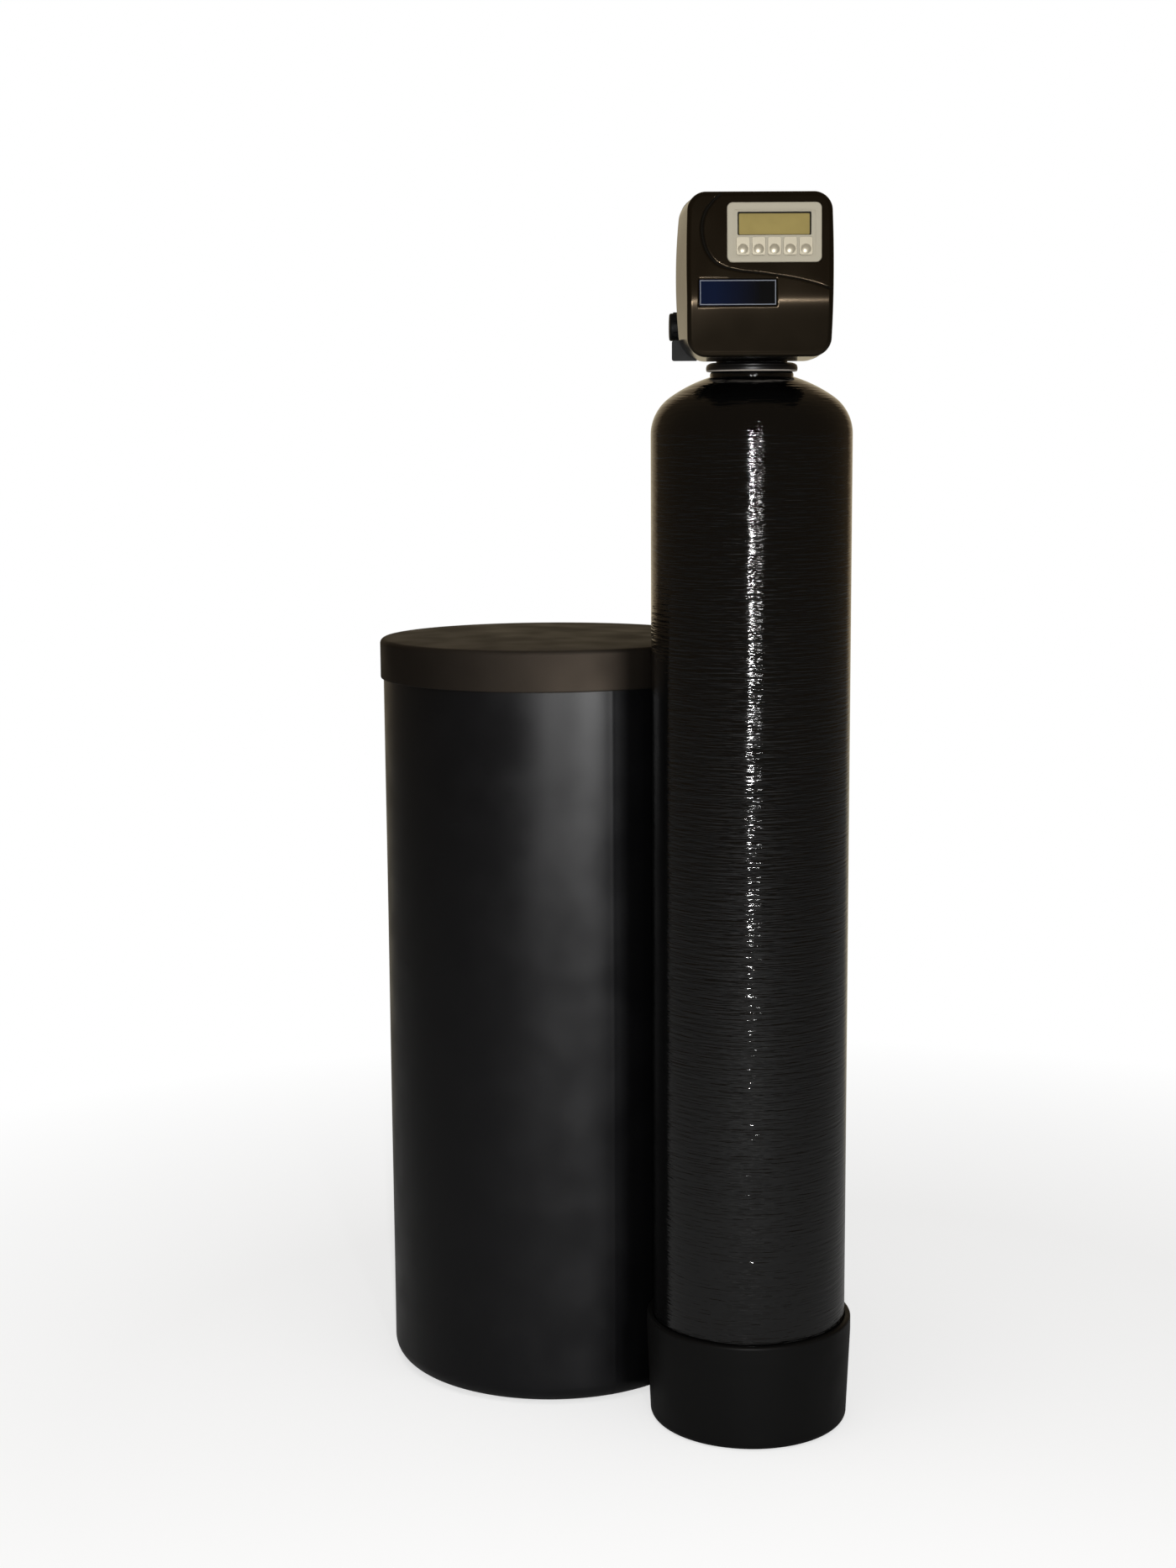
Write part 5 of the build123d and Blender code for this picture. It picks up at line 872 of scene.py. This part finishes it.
class SOFTENER_OT_stage(bpy.types.Operator):
    """Lays the pale floor, sets the soft studio light and places the camera"""
    bl_idname = "softener.stage"
    bl_label = "Stage"

    # Each lamp's name, the setting of its power, its place, the point it is aimed at, and its size, in metres.
    lamps = (
        ("key_lamp", "key_power", (-0.22, -3.05, 1.18), (-0.13, 0, 1.0), (0.055, 0.2)),
        ("second_lamp", "second_power", (0.24, -3.05, 1.44), (0, 0, 1.2), (0.1, 0.1)),
        ("top_lamp", "top_power", (-0.4, -0.6, 3.6), (-0.2, 0.1, 0.8), (2.4, 2.0)),
        ("side_lamp", "side_power", (1.44, -2.5, 1.5), (-0.2, 0.1, 0.9), (1.3, 1.0)),
    )
    floor_radius = 9.0
    # Between these distances from the middle the floor turns from its own colour into the backdrop's white.
    floor_fade = (0.9, 2.0)
    sensor_width = 36.0
    picture_height = 1866

    def execute(self, context):
        scene, settings = context.scene, context.scene.softener_stage
        self.lay_floor(settings)
        self.light_world(scene, settings)
        lamps = {name: self.hang_lamp(name, *rest, getattr(settings, power)) for name, power, *rest in self.lamps}
        # The lamp overhead is light alone: its own picture would lie on the tank's dome as a bar.
        lamps["top_lamp"].visible_glossy = False
        # Flags keep this lamp off the resin tank, so it draws one broad sheen down the salt tank alone.
        receivers = bpy.data.collections.new("side_lamp_receivers")
        for name in ("salt_tub", "lid_shell"):
            receivers.objects.link(bpy.data.objects[name])
        lamps["side_lamp"].light_linking.receiver_collection = receivers
        self.place_camera(scene, settings)
        scene.view_settings.view_transform = "Standard"
        return {"FINISHED"}

    def lay_floor(self, settings):
        """A round floor, matt and pale near the object and pure white further out."""
        rings = np.linspace(0, self.floor_radius, 30)
        floor = turned_piece("floor", np.stack([rings, 0 * rings], axis=1), 64)
        material = bpy.data.materials.new("pale_floor")
        tree = bare_tree(material)
        camera, mirrored = ray_kinds(tree)
        spot = place(tree)
        distance = add_node(tree, "VectorMath", {"operation": "LENGTH"}, i0=spot).outputs["Value"]
        # In front of the object the floor is plain floor in its own light, and behind it runs into the backdrop.
        far = add_node(tree, "SeparateXYZ", i0=spot).outputs[1]
        behind = ramp(tree, math_node(tree, "DIVIDE", far, distance), *BACKDROP_REACH)
        seen = math_node(tree, "MAXIMUM", camera, math_node(tree, "MULTIPLY", mirrored, behind))
        share = math_node(tree, "MULTIPLY", ramp(tree, distance, *self.floor_fade), seen)
        matt = add_node(tree, "BsdfDiffuse", Color=settings.floor_white).outputs[0]
        pale = mixed(tree, camera, settings.backdrop_warm, WHITE)
        white = add_node(tree, "Emission", Color=pale).outputs[0]
        lifted = math_node(tree, "MULTIPLY", camera, settings.floor_lift)
        lift = add_node(tree, "Emission", Color=WHITE, Strength=lifted).outputs[0]
        near = add_node(tree, "AddShader", i0=matt, i1=lift).outputs[0]
        both = add_node(tree, "MixShader", i0=share, i1=near, i2=white).outputs[0]
        add_node(tree, "OutputMaterial", Surface=both)
        floor.data.materials.append(material)

    def light_world(self, scene, settings):
        """A soft even room for light. The camera sees white, and gloss a warm backdrop and a dim room in front."""
        world = bpy.data.worlds.new("studio")
        tree = bare_tree(world)
        camera, mirrored = ray_kinds(tree)
        seen = math_node(tree, "MAXIMUM", camera, mirrored)
        direction = add_node(tree, "TexCoord").outputs["Generated"]
        share = ramp(tree, add_node(tree, "SeparateXYZ", i0=direction).outputs[1], *BACKDROP_REACH)
        behind = math_node(tree, "MAXIMUM", camera, share)
        level = ramp(tree, behind, 0, 1, settings.front_white)
        even = linear("#f4f1ec")
        light = add_node(tree, "Background", Color=even, Strength=settings.room_light).outputs[0]
        pale = mixed(tree, camera, settings.backdrop_warm, WHITE)
        backdrop = mixed(tree, behind, settings.room_warm, pale)
        white = add_node(tree, "Background", Color=backdrop, Strength=level).outputs[0]
        both = add_node(tree, "MixShader", i0=seen, i1=light, i2=white).outputs[0]
        add_node(tree, "OutputWorld", Surface=both)
        scene.world = world

    def hang_lamp(self, name, place_at, aim_at, size, power):
        """A rectangular soft lamp at a place, aimed at a point."""
        lamp = bpy.data.lights.new(name, "AREA")
        lamp.shape, lamp.size, lamp.size_y, lamp.energy = "RECTANGLE", size[0], size[1], power
        holder = bpy.data.objects.new(name, lamp)
        holder.location = place_at
        holder.rotation_euler = (Vector(aim_at) - Vector(place_at)).to_track_quat("-Z", "Y").to_euler()
        bpy.context.scene.collection.objects.link(holder)
        return holder

    def place_camera(self, scene, settings):
        """The camera: forward from yaw and pitch, then rolled about its own axis."""
        pitch, yaw, roll = settings.camera_pitch, settings.camera_yaw, settings.camera_roll
        ahead = Vector((math.sin(yaw) * math.cos(pitch), math.cos(yaw) * math.cos(pitch), -math.sin(pitch)))
        right = Vector((math.cos(yaw), -math.sin(yaw), 0))
        up = right.cross(ahead)
        rolled_right = math.cos(roll) * right + math.sin(roll) * up
        rolled_up = math.cos(roll) * up - math.sin(roll) * right
        data = bpy.data.cameras.new("camera")
        data.sensor_width = self.sensor_width
        data.lens = settings.focal_pixels * self.sensor_width / self.picture_height
        data.clip_end = 60.0
        camera = bpy.data.objects.new("camera", data)
        turn = Matrix((rolled_right, rolled_up, -ahead)).transposed()
        camera.matrix_world = Matrix.Translation(Vector(settings.camera_place)) @ turn.to_4x4()
        scene.collection.objects.link(camera)
        scene.camera = camera


class SOFTENER_PT_panel(bpy.types.Panel):
    """Lists the softener's pieces and settings"""
    bl_label = "Water softener"
    bl_space_type = "VIEW_3D"
    bl_region_type = "UI"
    bl_category = "Softener"

    def draw(self, context):
        for operator in OPERATORS:
            self.layout.operator(operator.bl_idname)
        for name in SETTINGS:
            group = getattr(context.scene, name)
            for key in group.__annotations__:
                self.layout.prop(group, key)


SETTINGS = {
    "softener_resin_tank": ResinTankSettings,
    "softener_salt_tank": SaltTankSettings,
    "softener_cover": CoverSettings,
    "softener_valve": ValveSettings,
    "softener_stage": StageSettings,
}
OPERATORS = (
    SOFTENER_OT_cad_finishes,
    SOFTENER_OT_resin_tank,
    SOFTENER_OT_boot,
    SOFTENER_OT_salt_tank,
    SOFTENER_OT_lid,
    SOFTENER_OT_cover,
    SOFTENER_OT_collar,
    SOFTENER_OT_stage,
)
CLASSES = (*SETTINGS.values(), *OPERATORS, SOFTENER_PT_panel)


def register():
    for cls in CLASSES:
        bpy.utils.register_class(cls)
    for name, group in SETTINGS.items():
        setattr(bpy.types.Scene, name, bpy.props.PointerProperty(type=group))


def unregister():
    for name in SETTINGS:
        delattr(bpy.types.Scene, name)
    for cls in reversed(CLASSES):
        bpy.utils.unregister_class(cls)


def main():
    """Makes every piece and the stage."""
    register()
    for operator in OPERATORS:
        area, name = operator.bl_idname.split(".")
        getattr(getattr(bpy.ops, area), name)()
    bpy.context.view_layer.update()


if __name__ == "__main__":
    main()
